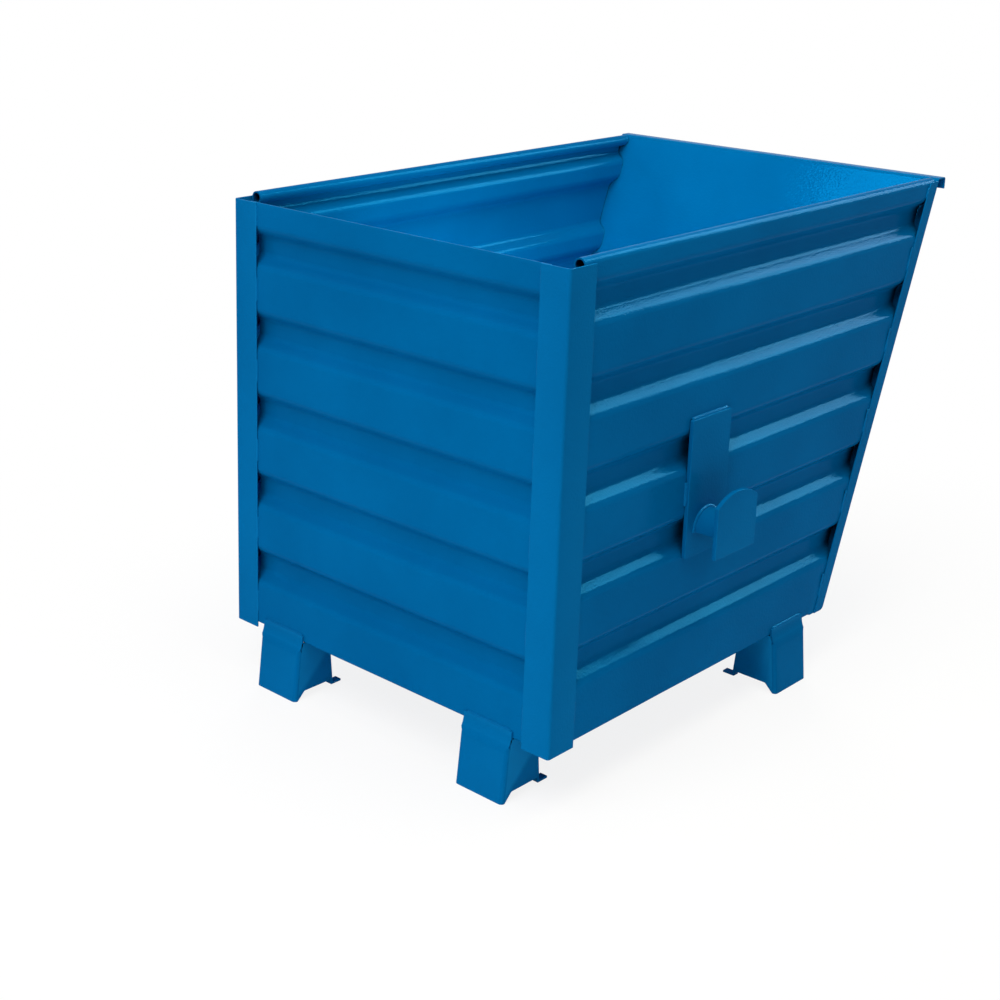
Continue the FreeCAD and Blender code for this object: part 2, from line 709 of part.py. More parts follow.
def build_trunnion_welds(label, side):
    """Welds along the strap's edges, on the flats it bridges, and round the saddle at both its ends."""
    leg = dim.plate_weld.number
    outward = FreeCAD.Vector(0, side * leg, 0)
    panel_y = side * side_panel_face.number
    bottom = (trunnion_z - dim.strap_below).number
    top = (trunnion_z + dim.strap_above).number
    beads = []
    for end in (Side.NEAR, Side.FAR):
        edge_x = trunnion_x.number + end * dim.strap_width.number / 2
        sideways = FreeCAD.Vector(end * leg, 0, 0)
        for stitch_bottom, stitch_top in side_stitches:
            low, high = max(stitch_bottom, bottom), min(stitch_top, top)
            if high - low > dim.least_stitch.number:
                start = FreeCAD.Vector(edge_x, panel_y, low)
                beads.append(fillet_weld(start, FreeCAD.Vector(edge_x, panel_y, high), outward, sideways))
    margin = dim.stitch_margin.number
    left = FreeCAD.Vector(trunnion_x.number - dim.strap_width.number / 2 + margin, panel_y, top)
    right = FreeCAD.Vector(trunnion_x.number + dim.strap_width.number / 2 - margin, panel_y, top)
    beads.append(fillet_weld(left, right, outward, FreeCAD.Vector(0, 0, leg)))

    axis = FreeCAD.Vector(trunnion_x.number, 0, trunnion_z.number)
    for seat, away in ((strap_face, side), (ear_seat, -side)):
        foot = axis + FreeCAD.Vector(dim.saddle_radius.number, side * seat.number, 0)
        along_tube = FreeCAD.Vector(0, away * leg, 0)
        across_plate = FreeCAD.Vector(leg, 0, 0)
        section = Part.Face(Part.makePolygon([foot, foot + along_tube, foot + across_plate, foot]))
        beads.append(section.revolve(axis, FreeCAD.Vector(0, -1, 0), 180))
    add_welds(label, beads)


def build_foot_welds(feet):
    """Lap weld along the top edge of each foot."""
    leg = dim.foot_sheet.number
    half = dim.foot_width.number / 2 - dim.stitch_margin.number
    level = (panel_bottom + dim.foot_lap).number
    beads = []
    for x, y, turn in feet:
        rotation = FreeCAD.Rotation(FreeCAD.Vector(0, 0, 1), turn)
        origin = FreeCAD.Vector(x, y, level)
        along = rotation.multVec(FreeCAD.Vector(0, half, 0))
        outward = rotation.multVec(FreeCAD.Vector(leg, 0, 0))
        beads.append(fillet_weld(origin - along, origin + along, outward, FreeCAD.Vector(0, 0, leg)))
    add_welds("foot_welds", beads)


def check_all():
    """Stop if any object failed to rebuild or any sub-part has no sound shape."""
    document.recompute()
    for item in document.Objects:
        if "Invalid" in item.State or "Error" in item.State:
            raise RuntimeError(f"{item.Label} did not rebuild: {item.State}")
    for part in subparts:
        if part.Shape.isNull() or not part.Shape.isValid():
            raise RuntimeError(f"{part.Label} has no sound shape")


def write_all():
    """Write each sub-part to a file named after it."""
    os.makedirs("parts", exist_ok=True)
    for part in subparts:
        part.Shape.exportStep(f"parts/{part.Label}.step")
        print(part.Label, len(part.Shape.Solids), round(part.Shape.Volume))


build_back_wall()
build_side_panel("side_panel_near", Side.NEAR)
build_side_panel("side_panel_far", Side.FAR)
build_floor_pan()
build_chute_wall()
build_corner_angle("corner_angle_near", Side.NEAR)
build_corner_angle("corner_angle_far", Side.FAR)

side_foot_x = chute_foot - dim.side_foot_setback
back_foot_y = side_face - dim.back_foot_inset
FEET = {
    "foot_back_near": ((back_panel_face, -back_foot_y), 180),
    "foot_back_far": ((back_panel_face, back_foot_y), 180),
    "foot_side_near": ((side_foot_x, -side_panel_face), -90),
    "foot_side_far": ((side_foot_x, side_panel_face), 90),
}
for foot_label, (foot_place, foot_turn) in FEET.items():
    build_foot(foot_label, foot_place, foot_turn)

for side_name, side_sign in (("near", Side.NEAR), ("far", Side.FAR)):
    build_trunnion(side_name, side_sign)
    build_corner_welds("corner_welds_" + side_name, side_sign)
    build_chute_welds("chute_welds_" + side_name, side_sign)
    build_trunnion_welds("trunnion_welds_" + side_name, side_sign)
build_foot_welds([(x.number, y.number, turn) for (x, y), turn in FEET.values()])

check_all()
write_all()
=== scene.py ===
"""Looks of a stackable tipping skip: pressed panels, folded feet, trunnions and welds in blue enamel."""
import logging
import math
from dataclasses import dataclass, field
from enum import Enum
from typing import Callable, Optional, Sequence

import bmesh
import bpy
from mathutils import Matrix, Vector


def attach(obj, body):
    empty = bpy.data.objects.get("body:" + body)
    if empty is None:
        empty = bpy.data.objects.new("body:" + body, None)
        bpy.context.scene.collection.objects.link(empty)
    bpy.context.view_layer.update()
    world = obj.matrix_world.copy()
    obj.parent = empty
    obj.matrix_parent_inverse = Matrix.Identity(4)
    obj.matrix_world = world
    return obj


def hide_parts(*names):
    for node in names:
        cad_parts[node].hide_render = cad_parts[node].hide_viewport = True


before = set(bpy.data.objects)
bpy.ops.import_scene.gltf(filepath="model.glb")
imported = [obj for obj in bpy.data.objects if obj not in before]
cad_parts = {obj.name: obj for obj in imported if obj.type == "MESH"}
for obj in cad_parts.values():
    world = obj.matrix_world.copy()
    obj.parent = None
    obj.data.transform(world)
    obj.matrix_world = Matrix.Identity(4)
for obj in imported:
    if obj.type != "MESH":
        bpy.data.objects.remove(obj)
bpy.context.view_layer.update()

Piece = bpy.types.Object
Tree = bpy.types.NodeTree
Socket = bpy.types.NodeSocket
LOG = logging.getLogger("tipping_skip")
BODY = "root"
MM = 0.001
# Slack of a selection, in millimetres: on level or upright lines, and on slanted ones.
NEAR_ENOUGH = 0.05
NEAR_SLANT = 0.3
# Least cosine between edges that run the same way.
PARALLEL = 0.999
# Points closer than this, in millimetres, are one point.
MERGE_WITHIN = 0.02
# Edges that turn by more than this stay sharp.
SHARP_ANGLE = math.radians(50)
# Rounding of cut edges under the paint, in millimetres.
PANEL_EDGE = 0.6
FOLDED_EDGE = 0.8
TUBE_EDGE = 1.0
PLATE_EDGE = 1.2
# Length of a stitch weld and least bare metal at its ends, in millimetres.
STITCH_LENGTH = 40.0
BARE_END = 8.0
# Numbers of the colour sockets of a mix node.
MIX_FIRST = 6
MIX_SECOND = 7
MIX_RESULT = 2
UP = Vector((0.0, 0.0, 1.0))
FORWARD = Vector((1.0, 0.0, 0.0))
FAR_WARD = Vector((0.0, 1.0, 0.0))
# The Y way of each side.
SIDES = {"near": -1, "far": 1}


class Element(Enum):
    """What a selection picks out of a mesh."""

    POINT = "VERT"
    EDGE = "EDGE"
    FACE = "FACE"


POINT, EDGE, FACE = Element


class Slot(Enum):
    """The record's material slots."""

    ENAMEL = "blue_enamel"
    WELD = "weld_enamel"


class Facing(Enum):
    """The ways that a new upright sheet can face, with the turn that a flat plane needs for it."""

    BACK = (math.pi / 2, 0.0, -math.pi / 2)
    FRONT = (math.pi / 2, 0.0, math.pi / 2)
    NEAR = (math.pi / 2, 0.0, 0.0)
    FAR = (math.pi / 2, 0.0, math.pi)

    @property
    def outward(self) -> Vector:
        """The unit vector that the sheet's outer side looks along."""
        return {Facing.BACK: -FORWARD, Facing.FRONT: FORWARD.copy(), Facing.NEAR: -FAR_WARD,
                Facing.FAR: FAR_WARD.copy()}[self]


def at(x: float, y: float, z: float) -> Vector:
    """A point given in millimetres, in metres."""
    return Vector((x, y, z)) * MM


def same(one: float, two: float) -> bool:
    """Whether two lengths in millimetres are equal for the purposes of a selection."""
    return abs(one - two) < NEAR_ENOUGH


def fold_setback(radius: float, angle: float) -> float:
    """How far from a sharp fold line its round begins, for an outer radius and an angle in radians."""
    return radius * math.tan(angle / 2)


def deselect() -> None:
    """Leave edit mode and select nothing, so that the next operator touches only its own piece."""
    if bpy.context.object is not None and bpy.context.object.mode != "OBJECT":
        bpy.ops.object.mode_set(mode="OBJECT")
    bpy.ops.object.select_all(action="DESELECT")


class Bench:
    """Base of the pieces: one mesh at a time, shaped in edit mode and finished with modifiers."""

    piece: Piece

    def open(self, name: str) -> None:
        """Take the primitive that was just added and open it for editing.

        Args:
            name: name of the finished piece.
        """
        self.piece = bpy.context.object
        self.piece.name = name
        self.piece.data.name = name
        bpy.ops.object.transform_apply(location=True, rotation=True, scale=True)
        bpy.ops.object.mode_set(mode="EDIT")

    def open_sheet(self, name: str, centre: Vector, width: float, height: float, facing: Facing) -> None:
        """Start from a flat upright sheet.

        Args:
            name: name of the piece.
            centre: its middle, in metres.
            width: its level size, in millimetres.
            height: its upright size, in millimetres.
            facing: side that the outer face looks to.
        """
        deselect()
        bpy.ops.mesh.primitive_plane_add(size=1.0, location=centre, rotation=facing.value)
        bpy.context.object.scale = (width * MM, height * MM, 1.0)
        self.open(name)

    def pick(self, element: Element, test: Callable[[Vector], bool], along: Optional[Vector] = None) -> None:
        """Select the elements whose points all pass a test.

        Args:
            element: points, edges or faces.
            test: takes a point in millimetres.
            along: for edges, the direction that they have to run in.
        """
        bpy.ops.mesh.select_mode(type=element.value)
        bpy.ops.mesh.select_all(action="DESELECT")
        mesh = bmesh.from_edit_mesh(self.piece.data)
        parts = {POINT: mesh.verts, EDGE: mesh.edges, FACE: mesh.faces}[element]
        for part in parts:
            points = [part.co] if element is POINT else [v.co for v in part.verts]
            if along is not None and abs((points[1] - points[0]).normalized().dot(along)) < PARALLEL:
                continue
            if all(test(point / MM) for point in points):
                part.select_set(True)
        mesh.select_flush_mode()
        bmesh.update_edit_mesh(self.piece.data)

    def cut(self, point: Vector, normal: Vector, drop: bool = False, fill: bool = False,
            picked: bool = False) -> None:
        """Cut the mesh along a plane.

        Args:
            point: a point of the plane, in metres.
            normal: the plane's normal.
            drop: whether the part that the normal points to falls away.
            fill: whether the cut of a solid is closed.
            picked: whether only what is selected is cut.
        """
        if not picked:
            bpy.ops.mesh.select_all(action="SELECT")
        bpy.ops.mesh.bisect(plane_co=point, plane_no=normal, clear_outer=drop, use_fill=fill)

    def move(self, step: Vector) -> None:
        """Move what is selected by a step in millimetres."""
        bpy.ops.transform.translate(value=step * MM)

    def extrude(self, step: Vector) -> None:
        """Draw the selected edges out by a step in millimetres."""
        bpy.ops.mesh.extrude_region_move(TRANSFORM_OT_translate={"value": step * MM})

    def round_picked(self, setback: float, segments: int = 5) -> None:
        """Round the selected fold lines, from a setback in millimetres."""
        bpy.ops.mesh.bevel(offset_type="OFFSET", offset=setback * MM, segments=segments, profile=0.5,
                           affect="EDGES", clamp_overlap=True)

    def face_outward(self, direction: Vector) -> None:
        """Make all normals agree.

        Args:
            direction: where the largest face looks.
        """
        bpy.ops.mesh.select_all(action="SELECT")
        bpy.ops.mesh.remove_doubles(threshold=MERGE_WITHIN * MM)
        bpy.ops.mesh.normals_make_consistent(inside=False)
        mesh = bmesh.from_edit_mesh(self.piece.data)
        largest = max(mesh.faces, key=lambda face: face.calc_area() * abs(face.normal.dot(direction)))
        if largest.normal.dot(direction) < 0:
            bpy.ops.mesh.flip_normals()

    def modify(self, kind: str, **settings: object) -> None:
        """Add a modifier, set it and apply it.

        Args:
            kind: Blender's name of the modifier.
            settings: its values.
        """
        bpy.ops.object.mode_set(mode="OBJECT")
        bpy.ops.object.modifier_add(type=kind)
        modifier = self.piece.modifiers[-1]
        for key, value in settings.items():
            setattr(modifier, key, value)
        bpy.ops.object.modifier_apply(modifier=modifier.name)
        bpy.ops.object.mode_set(mode="EDIT")

    def finish(self, edge: float, segments: int = 3, sheet: float = 0.0) -> Piece:
        """Thicken a skin inward, take the sharpness off cut edges, as paint does, and smooth the rounds.

        Args:
            edge: width of the eased edges, in millimetres.
            segments: steps of the eased edges.
            sheet: thickness that a skin gets, in millimetres, or zero for a solid.

        Returns:
            The finished piece.
        """
        if sheet:
            self.modify("SOLIDIFY", thickness=sheet * MM, offset=-1.0, use_even_offset=True)
        self.modify("BEVEL", width=edge * MM, segments=segments, limit_method="ANGLE",
                    angle_limit=SHARP_ANGLE, harden_normals=False)
        bpy.ops.object.mode_set(mode="OBJECT")
        bpy.ops.object.shade_smooth_by_angle(angle=SHARP_ANGLE)
        self.modify("WEIGHTED_NORMAL", keep_sharp=True)
        bpy.ops.object.mode_set(mode="OBJECT")
        return self.piece


def linear(hex_colour: str) -> tuple[float, ...]:
    """Linear red, green, blue and alpha of an sRGB colour such as "#0060a2"."""
    parts = [int(hex_colour[i:i + 2], 16) / 255 for i in (1, 3, 5)]
    return (*(p / 12.92 if p <= 0.04045 else ((p + 0.055) / 1.055) ** 2.4 for p in parts), 1.0)


def add_node(tree: Tree, kind: str, settings: Optional[dict] = None,
             inputs: Optional[dict] = None) -> bpy.types.Node:
    """Add a node with its settings and links.

    Args:
        tree: the material's nodes.
        kind: Blender's name of the node.
        settings: properties of the node.
        inputs: values of its sockets, or the sockets that are linked to them.

    Returns:
        The node.
    """
    node = tree.nodes.new(kind)
    for key, value in (settings or {}).items():
        setattr(node, key, value)
    for key, value in (inputs or {}).items():
        if isinstance(value, Socket):
            tree.links.new(value, node.inputs[key])
        else:
            node.inputs[key].default_value = value
    return node


def noise(tree: Tree, place: Socket, size_mm: float, detail: float, roughness: float) -> Socket:
    """Noise with lumps of a size in millimetres, as a socket from 0 to 1."""
    inputs = {"Vector": place, "Scale": 1 / (size_mm * MM), "Detail": detail, "Roughness": roughness}
    return add_node(tree, "ShaderNodeTexNoise", {}, inputs).outputs["Fac"]


def ramp(tree: Tree, value: Socket, low: float, high: float, start: float = 0.0, end: float = 1.0) -> Socket:
    """A socket that goes from start to end while a value goes from low to high."""
    inputs = {"Value": value, "From Min": low, "From Max": high, "To Min": start, "To Max": end}
    return add_node(tree, "ShaderNodeMapRange", {}, inputs).outputs["Result"]


def blend(tree: Tree, share: Socket, one: object, two: object) -> Socket:
    """Mix two colours, given as values or sockets, by the second one's share."""
    inputs = {"Factor": share, MIX_FIRST: one, MIX_SECOND: two}
    return add_node(tree, "ShaderNodeMix", {"data_type": "RGBA"}, inputs).outputs[MIX_RESULT]


@dataclass(frozen=True)
class Enamel:
    """Alkyd enamel, sprayed on sheet steel.

    It gives the eye a deep, even blue with a soft gloss, broken up by orange peel, with slightly paler edges
    where the paint draws thin, and painted shade that darkens narrow gaps and crevices.
    """

    name: str = "sprayed alkyd enamel on sheet steel"
    blue: str = "#00609a"
    cloudy_blue: str = "#005a92"
    thin_edge: str = "#0c78b4"
    roughness: float = 0.10
    roughness_spread: float = 0.04
    # The pigment tints the gloss, so part of it is shaded as a blue mirror and little is left white.
    tinted_gloss: float = 0.045
    clear_gloss: float = 0.004
    gloss_tint: str = "#3fa6f5"
    # Real orange peel is 1 to 2 mm; it is drawn coarser, because a millimetre is half a pixel here.
    peel_mm: float = 5.0
    peel_height_mm: float = 0.40
    # The spray gun's passes leave slow changes in thickness.
    pass_mm: float = 220.0
    dust_mm: float = 9.0
    # Painted shade: narrow gaps found by ambient occlusion within this reach are darkened towards a
    # near-black blue.
    painted_crevice_shade: str = "#04090d"
    shade_reach_mm: float = 38.0

    def build(self) -> bpy.types.Material:
        """Make the material.

        Returns:
            The material, in Object coordinates.
        """
        material = bpy.data.materials.new(self.name)
        material.use_nodes = True
        tree = material.node_tree
        tree.nodes.clear()
        place = add_node(tree, "ShaderNodeTexCoord").outputs["Object"]
        passes = noise(tree, place, self.pass_mm, detail=3.0, roughness=0.5)
        cloud = ramp(tree, passes, low=0.35, high=0.65)
        paint = blend(tree, cloud, linear(self.blue), linear(self.cloudy_blue))
        convex = add_node(tree, "ShaderNodeNewGeometry").outputs["Pointiness"]
        edge = ramp(tree, convex, low=0.52, high=0.62, end=0.8)
        worn = blend(tree, edge, paint, linear(self.thin_edge))
        # Painted shade: ambient occlusion darkens the colour in narrow gaps and crevices.
        occlusion = add_node(tree, "ShaderNodeAmbientOcclusion", {"samples": 8}, {
            "Distance": self.shade_reach_mm * MM})
        painted_shade = ramp(tree, occlusion.outputs["AO"], low=0.12, high=0.40, start=1.0, end=0.0)
        shaded = blend(tree, painted_shade, worn, linear(self.painted_crevice_shade))
        dust = noise(tree, place, self.dust_mm, detail=4.0, roughness=0.6)
        half_spread = self.roughness_spread / 2
        rough = ramp(tree, dust, low=0.3, high=0.7, start=self.roughness - half_spread,
                     end=self.roughness + half_spread)
        peel = noise(tree, place, self.peel_mm, detail=1.5, roughness=0.45)
        bump = add_node(tree, "ShaderNodeBump", {}, {
            "Height": peel, "Strength": 1.0, "Distance": self.peel_height_mm * MM})
        shader = add_node(tree, "ShaderNodeBsdfPrincipled", {}, {
            "Base Color": shaded, "Roughness": rough, "Normal": bump.outputs["Normal"],
            "Metallic": self.tinted_gloss, "Specular IOR Level": self.clear_gloss,
            "Specular Tint": linear(self.gloss_tint)})
        add_node(tree, "ShaderNodeOutputMaterial", {}, {"Surface": shader.outputs["BSDF"]})
        return material


@dataclass(frozen=True)
class Skip:
    """Sizes that several pieces share, in millimetres."""

    back: float = -600.0
    side: float = 400.0
    angle_sheet: float = 3.0
    sheet: float = 3.0
    panel_bottom: float = 118.0
    wall_top: float = 960.0
    rim_top: float = 970.0
    fold: float = 3.0
    chute_foot: float = 279.0
    chute_head: float = 595.0
    panel_inset: float = 42.0
    # A side panel's blank runs on past the chute, and its bottom flange stops short of it.
    blank_end: float = 640.0
    flange_gap: float = 48.0
    foot_back_y: float = 264.0
    foot_side_x: float = 143.0
    trunnion_x: float = -180.0
    trunnion_z: float = 423.0

    @property
    def panel_back(self) -> float:
        """X of the back wall's outer face."""
        return self.back + self.angle_sheet

    @property
    def panel_side(self) -> float:
        """Distance of a side panel's outer face from the middle."""
        return self.side - self.angle_sheet

    @property
    def chute_lean(self) -> float:
        """Run of the chute per millimetre of rise."""
        return (self.chute_head - self.chute_foot) / (self.rim_top - self.panel_bottom)

    def chute_outer(self, level: float) -> float:
        """X of the chute's outer face at a level."""
        return self.chute_foot + (level - self.panel_bottom) * self.chute_lean

    def chute_inner(self, level: float) -> float:
        """X of the chute's inner face at a level."""
        return self.chute_outer(level) - self.sheet * math.hypot(1.0, self.chute_lean)


SKIP = Skip()


@dataclass
class GroovedPanel(Bench):
    """A wall pressed from sheet, with level grooves and a flange that is turned in under the floor."""

    node: str
    facing: Facing
    face: float
    start: float
    end: float
    top: float
    grooves: Sequence[float]
    along: Vector
    flange_end: float
    rolled_rim: bool = False
    groove_width: float = 70.0
    groove_depth: float = 22.0
    groove_flank: float = 18.0
    groove_radius: float = 14.0
    bottom_flange: float = 36.0
    bead: float = 24.0
    bead_turn: float = math.radians(300)
    bead_steps: int = 30
    # The photograph shows a dark joint at the chute. The panels' ends are cut to a slightly steeper line,
    # so that they bear on the chute at the floor, to this depth, and stand off it by this much at the rim.
    chute_bearing: float = 2.0
    chute_gap: float = 6.0
    # Thin sheet is never quite flat: it waves by about this much between its welds.
    wave: float = 1.6
    wave_length: float = 260.0
    # For the waves the sheet is cut across this often, and flats taller than this are cut lengthways too.
    cross_cuts: int = 31
    least_flat: float = 30.0

    def point(self, station: float, level: float, depth: float = 0.0) -> Vector:
        """A place on the panel, in metres, from its station along the wall, its level and its depth."""
        return (self.along * station + self.facing.outward * (self.face - depth) + UP * level) * MM

    def depth(self, place: Vector) -> float:
        """How far a point in millimetres lies behind the outer face."""
        return self.face - place.dot(self.facing.outward)

    def build(self) -> Piece:
        """Press, fold, roll and thicken the panel.

        Returns:
            The finished piece.
        """
        middle = self.point((self.start + self.end) / 2, (SKIP.panel_bottom + self.top) / 2)
        self.open_sheet(self.node + "_sheet", middle, self.end - self.start,
                        self.top - SKIP.panel_bottom, self.facing)
        self._press_grooves()
        self._turn_flange()
        if self.rolled_rim:
            self._roll_rim()
        self.pick(EDGE, lambda place: True, self.along)
        bpy.ops.mesh.subdivide(number_cuts=self.cross_cuts)
        if self.rolled_rim:
            closing = (self.chute_gap + self.chute_bearing) / (SKIP.rim_top - SKIP.panel_bottom)
            self.cut(at(SKIP.chute_inner(SKIP.panel_bottom) + self.chute_bearing, 0, SKIP.panel_bottom),
                     Vector((1.0, 0.0, closing - SKIP.chute_lean)), drop=True)
        self._wave_sheet()
        self.face_outward(self.facing.outward)
        return self.finish(PANEL_EDGE, segments=2, sheet=SKIP.sheet)

    def _press_grooves(self) -> None:
        """Cut the flat sheet at every fold line, press the beds in and round the folds."""
        half = self.groove_width / 2
        bed = half - self.groove_flank
        inward = -self.facing.outward
        for middle in self.grooves:
            for level in (middle + half, middle + bed, middle - bed, middle - half):
                self.cut(at(0, 0, level), UP)
            self.pick(FACE, lambda place: abs(place.z - middle) < bed + NEAR_ENOUGH)
            self.move(inward * self.groove_depth)
        turn = math.atan2(self.groove_depth, self.groove_flank)
        for offset, radius in ((half, self.groove_radius + SKIP.sheet), (bed, self.groove_radius)):
            levels = [middle + side * offset for middle in self.grooves for side in (-1, 1)]
            self.pick(EDGE, lambda place: any(same(place.z, level) for level in levels), self.along)
            self.round_picked(fold_setback(radius, turn))

    def _turn_flange(self) -> None:
        """Turn the bottom edge in, as far along as the flange reaches."""
        if self.flange_end < self.end:
            self.cut(self.point(self.flange_end, 0), self.along)
        self.pick(EDGE, lambda place: same(place.z, SKIP.panel_bottom)
                  and place.dot(self.along) < self.flange_end + NEAR_ENOUGH, self.along)
        self.extrude(-self.facing.outward * self.bottom_flange)
        self.pick(EDGE, lambda place: same(place.z, SKIP.panel_bottom) and same(self.depth(place), 0.0)
                  and place.dot(self.along) < self.flange_end + NEAR_ENOUGH, self.along)
        self.round_picked(SKIP.fold + SKIP.sheet, segments=4)

    def _roll_rim(self) -> None:
        """Roll the top edge over into a bead that stays open next to the panel."""
        self.pick(EDGE, lambda place: same(place.z, self.top), self.along)
        turn = -self.bead_turn if self.facing is Facing.FAR else self.bead_turn
        bpy.ops.mesh.spin(steps=self.bead_steps, angle=turn, axis=FORWARD,
                          center=self.point(0.0, self.top, self.bead / 2))

    def _wave_sheet(self) -> None:
        """Let the flats wave a little."""
        self.pick(EDGE, lambda place: True, UP)
        mesh = bmesh.from_edit_mesh(self.piece.data)
        for edge in mesh.edges:
            edge.select_set(edge.select and edge.calc_length() > self.least_flat * MM)
        bmesh.update_edit_mesh(self.piece.data)
        bpy.ops.mesh.subdivide(number_cuts=2)
        waves = bpy.data.textures.new(self.node + "_waves", "CLOUDS")
        waves.noise_scale = self.wave_length * MM
        waves.noise_depth = 1
        axis = "X" if self.facing is Facing.BACK else "Y"
        self.modify("DISPLACE", texture=waves, texture_coords="LOCAL", direction=axis,
                    strength=self.wave * MM, mid_level=0.5)


@dataclass
class CornerAngle(Bench):
    """A folded angle that covers a back corner."""

    node: str
    side: int
    back_leg: float = 60.0
    side_leg: float = 68.0
    drop: float = 8.0

    def build(self) -> Piece:
        """Fold the angle and thicken it.

        Returns:
            The finished piece.
        """
        low = SKIP.panel_bottom - self.drop
        height = SKIP.wall_top - low
        middle = at(SKIP.back, self.side * (SKIP.side - self.back_leg / 2), low + height / 2)
        self.open_sheet(self.node + "_sheet", middle, self.back_leg, height, Facing.BACK)
        self.pick(EDGE, lambda place: same(place.y, self.side * SKIP.side), UP)
        self.extrude(FORWARD * self.side_leg)
        self.pick(EDGE, lambda place: same(place.y, self.side * SKIP.side) and same(place.x, SKIP.back), UP)
        self.round_picked(SKIP.fold + SKIP.angle_sheet, segments=6)
        self.face_outward(-FORWARD)
        return self.finish(FOLDED_EDGE, sheet=SKIP.angle_sheet)


@dataclass
class ChuteWall(Bench):
    """The sloping pouring wall: plate, tail under the floor, hanging lip and lapped side flanges."""

    node: str = "chute_wall"
    tail: float = 45.0
    tail_half_width: float = 393.7
    bend: float = 15.0
    bend_rise: float = 26.0
    flange: float = 28.0
    corner_setback: float = 8.0
    lip_gap: float = 3.0
    lip_fold: float = 2.0
    lip_face: float = 620.5
    lip_drop: float = 24.0

    def build(self) -> Piece:
        """Fold the wall out of one plate.

        Returns:
            The finished piece.
        """
        low = SKIP.panel_bottom
        under = SKIP.rim_top - SKIP.sheet
        head = SKIP.chute_outer(under)
        self.open_sheet(self.node + "_sheet", at(SKIP.chute_foot, 0, (low + under) / 2), SKIP.side * 2,
                        under - low, Facing.FRONT)
        self.pick(POINT, lambda place: same(place.z, under))
        self.move(FORWARD * (head - SKIP.chute_foot))
        for level in (low + self.bend_rise, under - self.lip_gap):
            self.cut(at(0, 0, level), UP)
        self._lap_sides(under)
        self.pick(EDGE, lambda place: same(place.z, under), FAR_WARD)
        self.extrude(FORWARD * (self.lip_face - SKIP.sheet - head))
        self.extrude(-UP * (self.lip_drop - SKIP.sheet))
        for x in (head, self.lip_face - SKIP.sheet):
            self.pick(EDGE, lambda place: same(place.x, x) and same(place.z, under), FAR_WARD)
            self.round_picked(self.lip_fold, segments=4)
        self.pick(EDGE, self.on_bend, FAR_WARD)
        self.extrude(-FORWARD * (self.tail + SKIP.sheet))
        turn = math.atan2(1.0, SKIP.chute_lean)
        self.pick(EDGE, self.on_bend, FAR_WARD)
        self.round_picked(fold_setback(self.bend, turn), segments=7)
        self.face_outward(FORWARD)
        return self.finish(FOLDED_EDGE, sheet=SKIP.sheet)

    def _lap_sides(self, under: float) -> None:
        """Draw the plate's ends back over the side panels, slit them off the bend and round their corners.

        Args:
            under: level of the lip's underside, in millimetres.
        """
        slit_top = SKIP.panel_bottom + self.bend_rise
        for side in (-1, 1):
            self.pick(EDGE, lambda place: same(place.y, side * SKIP.side)
                      and place.z < under - self.lip_gap + NEAR_ENOUGH)
            self.extrude(-FORWARD * (self.flange + SKIP.chute_outer(0) - SKIP.chute_inner(0)))
            self.pick(FACE, lambda place: place.z < slit_top + NEAR_ENOUGH and self.on_plate(place))
            self.cut(at(0, side * self.tail_half_width, 0), FAR_WARD, picked=True)
            self.pick(FACE, lambda place: place.z < slit_top + NEAR_ENOUGH and self.on_plate(place)
                      and place.y * side > self.tail_half_width - NEAR_ENOUGH)
            bpy.ops.mesh.delete(type="FACE")
        self.pick(POINT, lambda place: same(place.z, SKIP.panel_bottom) and self.on_plate(place)
                  and same(abs(place.y), SKIP.side))
        bpy.ops.mesh.bevel(offset=self.corner_setback * MM, segments=6, affect="VERTICES")

    def on_bend(self, place: Vector) -> bool:
        """Whether a point lies on the fold line between plate and tail."""
        return same(place.z, SKIP.panel_bottom) and same(place.x, SKIP.chute_foot)

    def on_plate(self, place: Vector) -> bool:
        """Whether a point lies on the plate's outer face."""
        return same(place.x, SKIP.chute_outer(place.z))


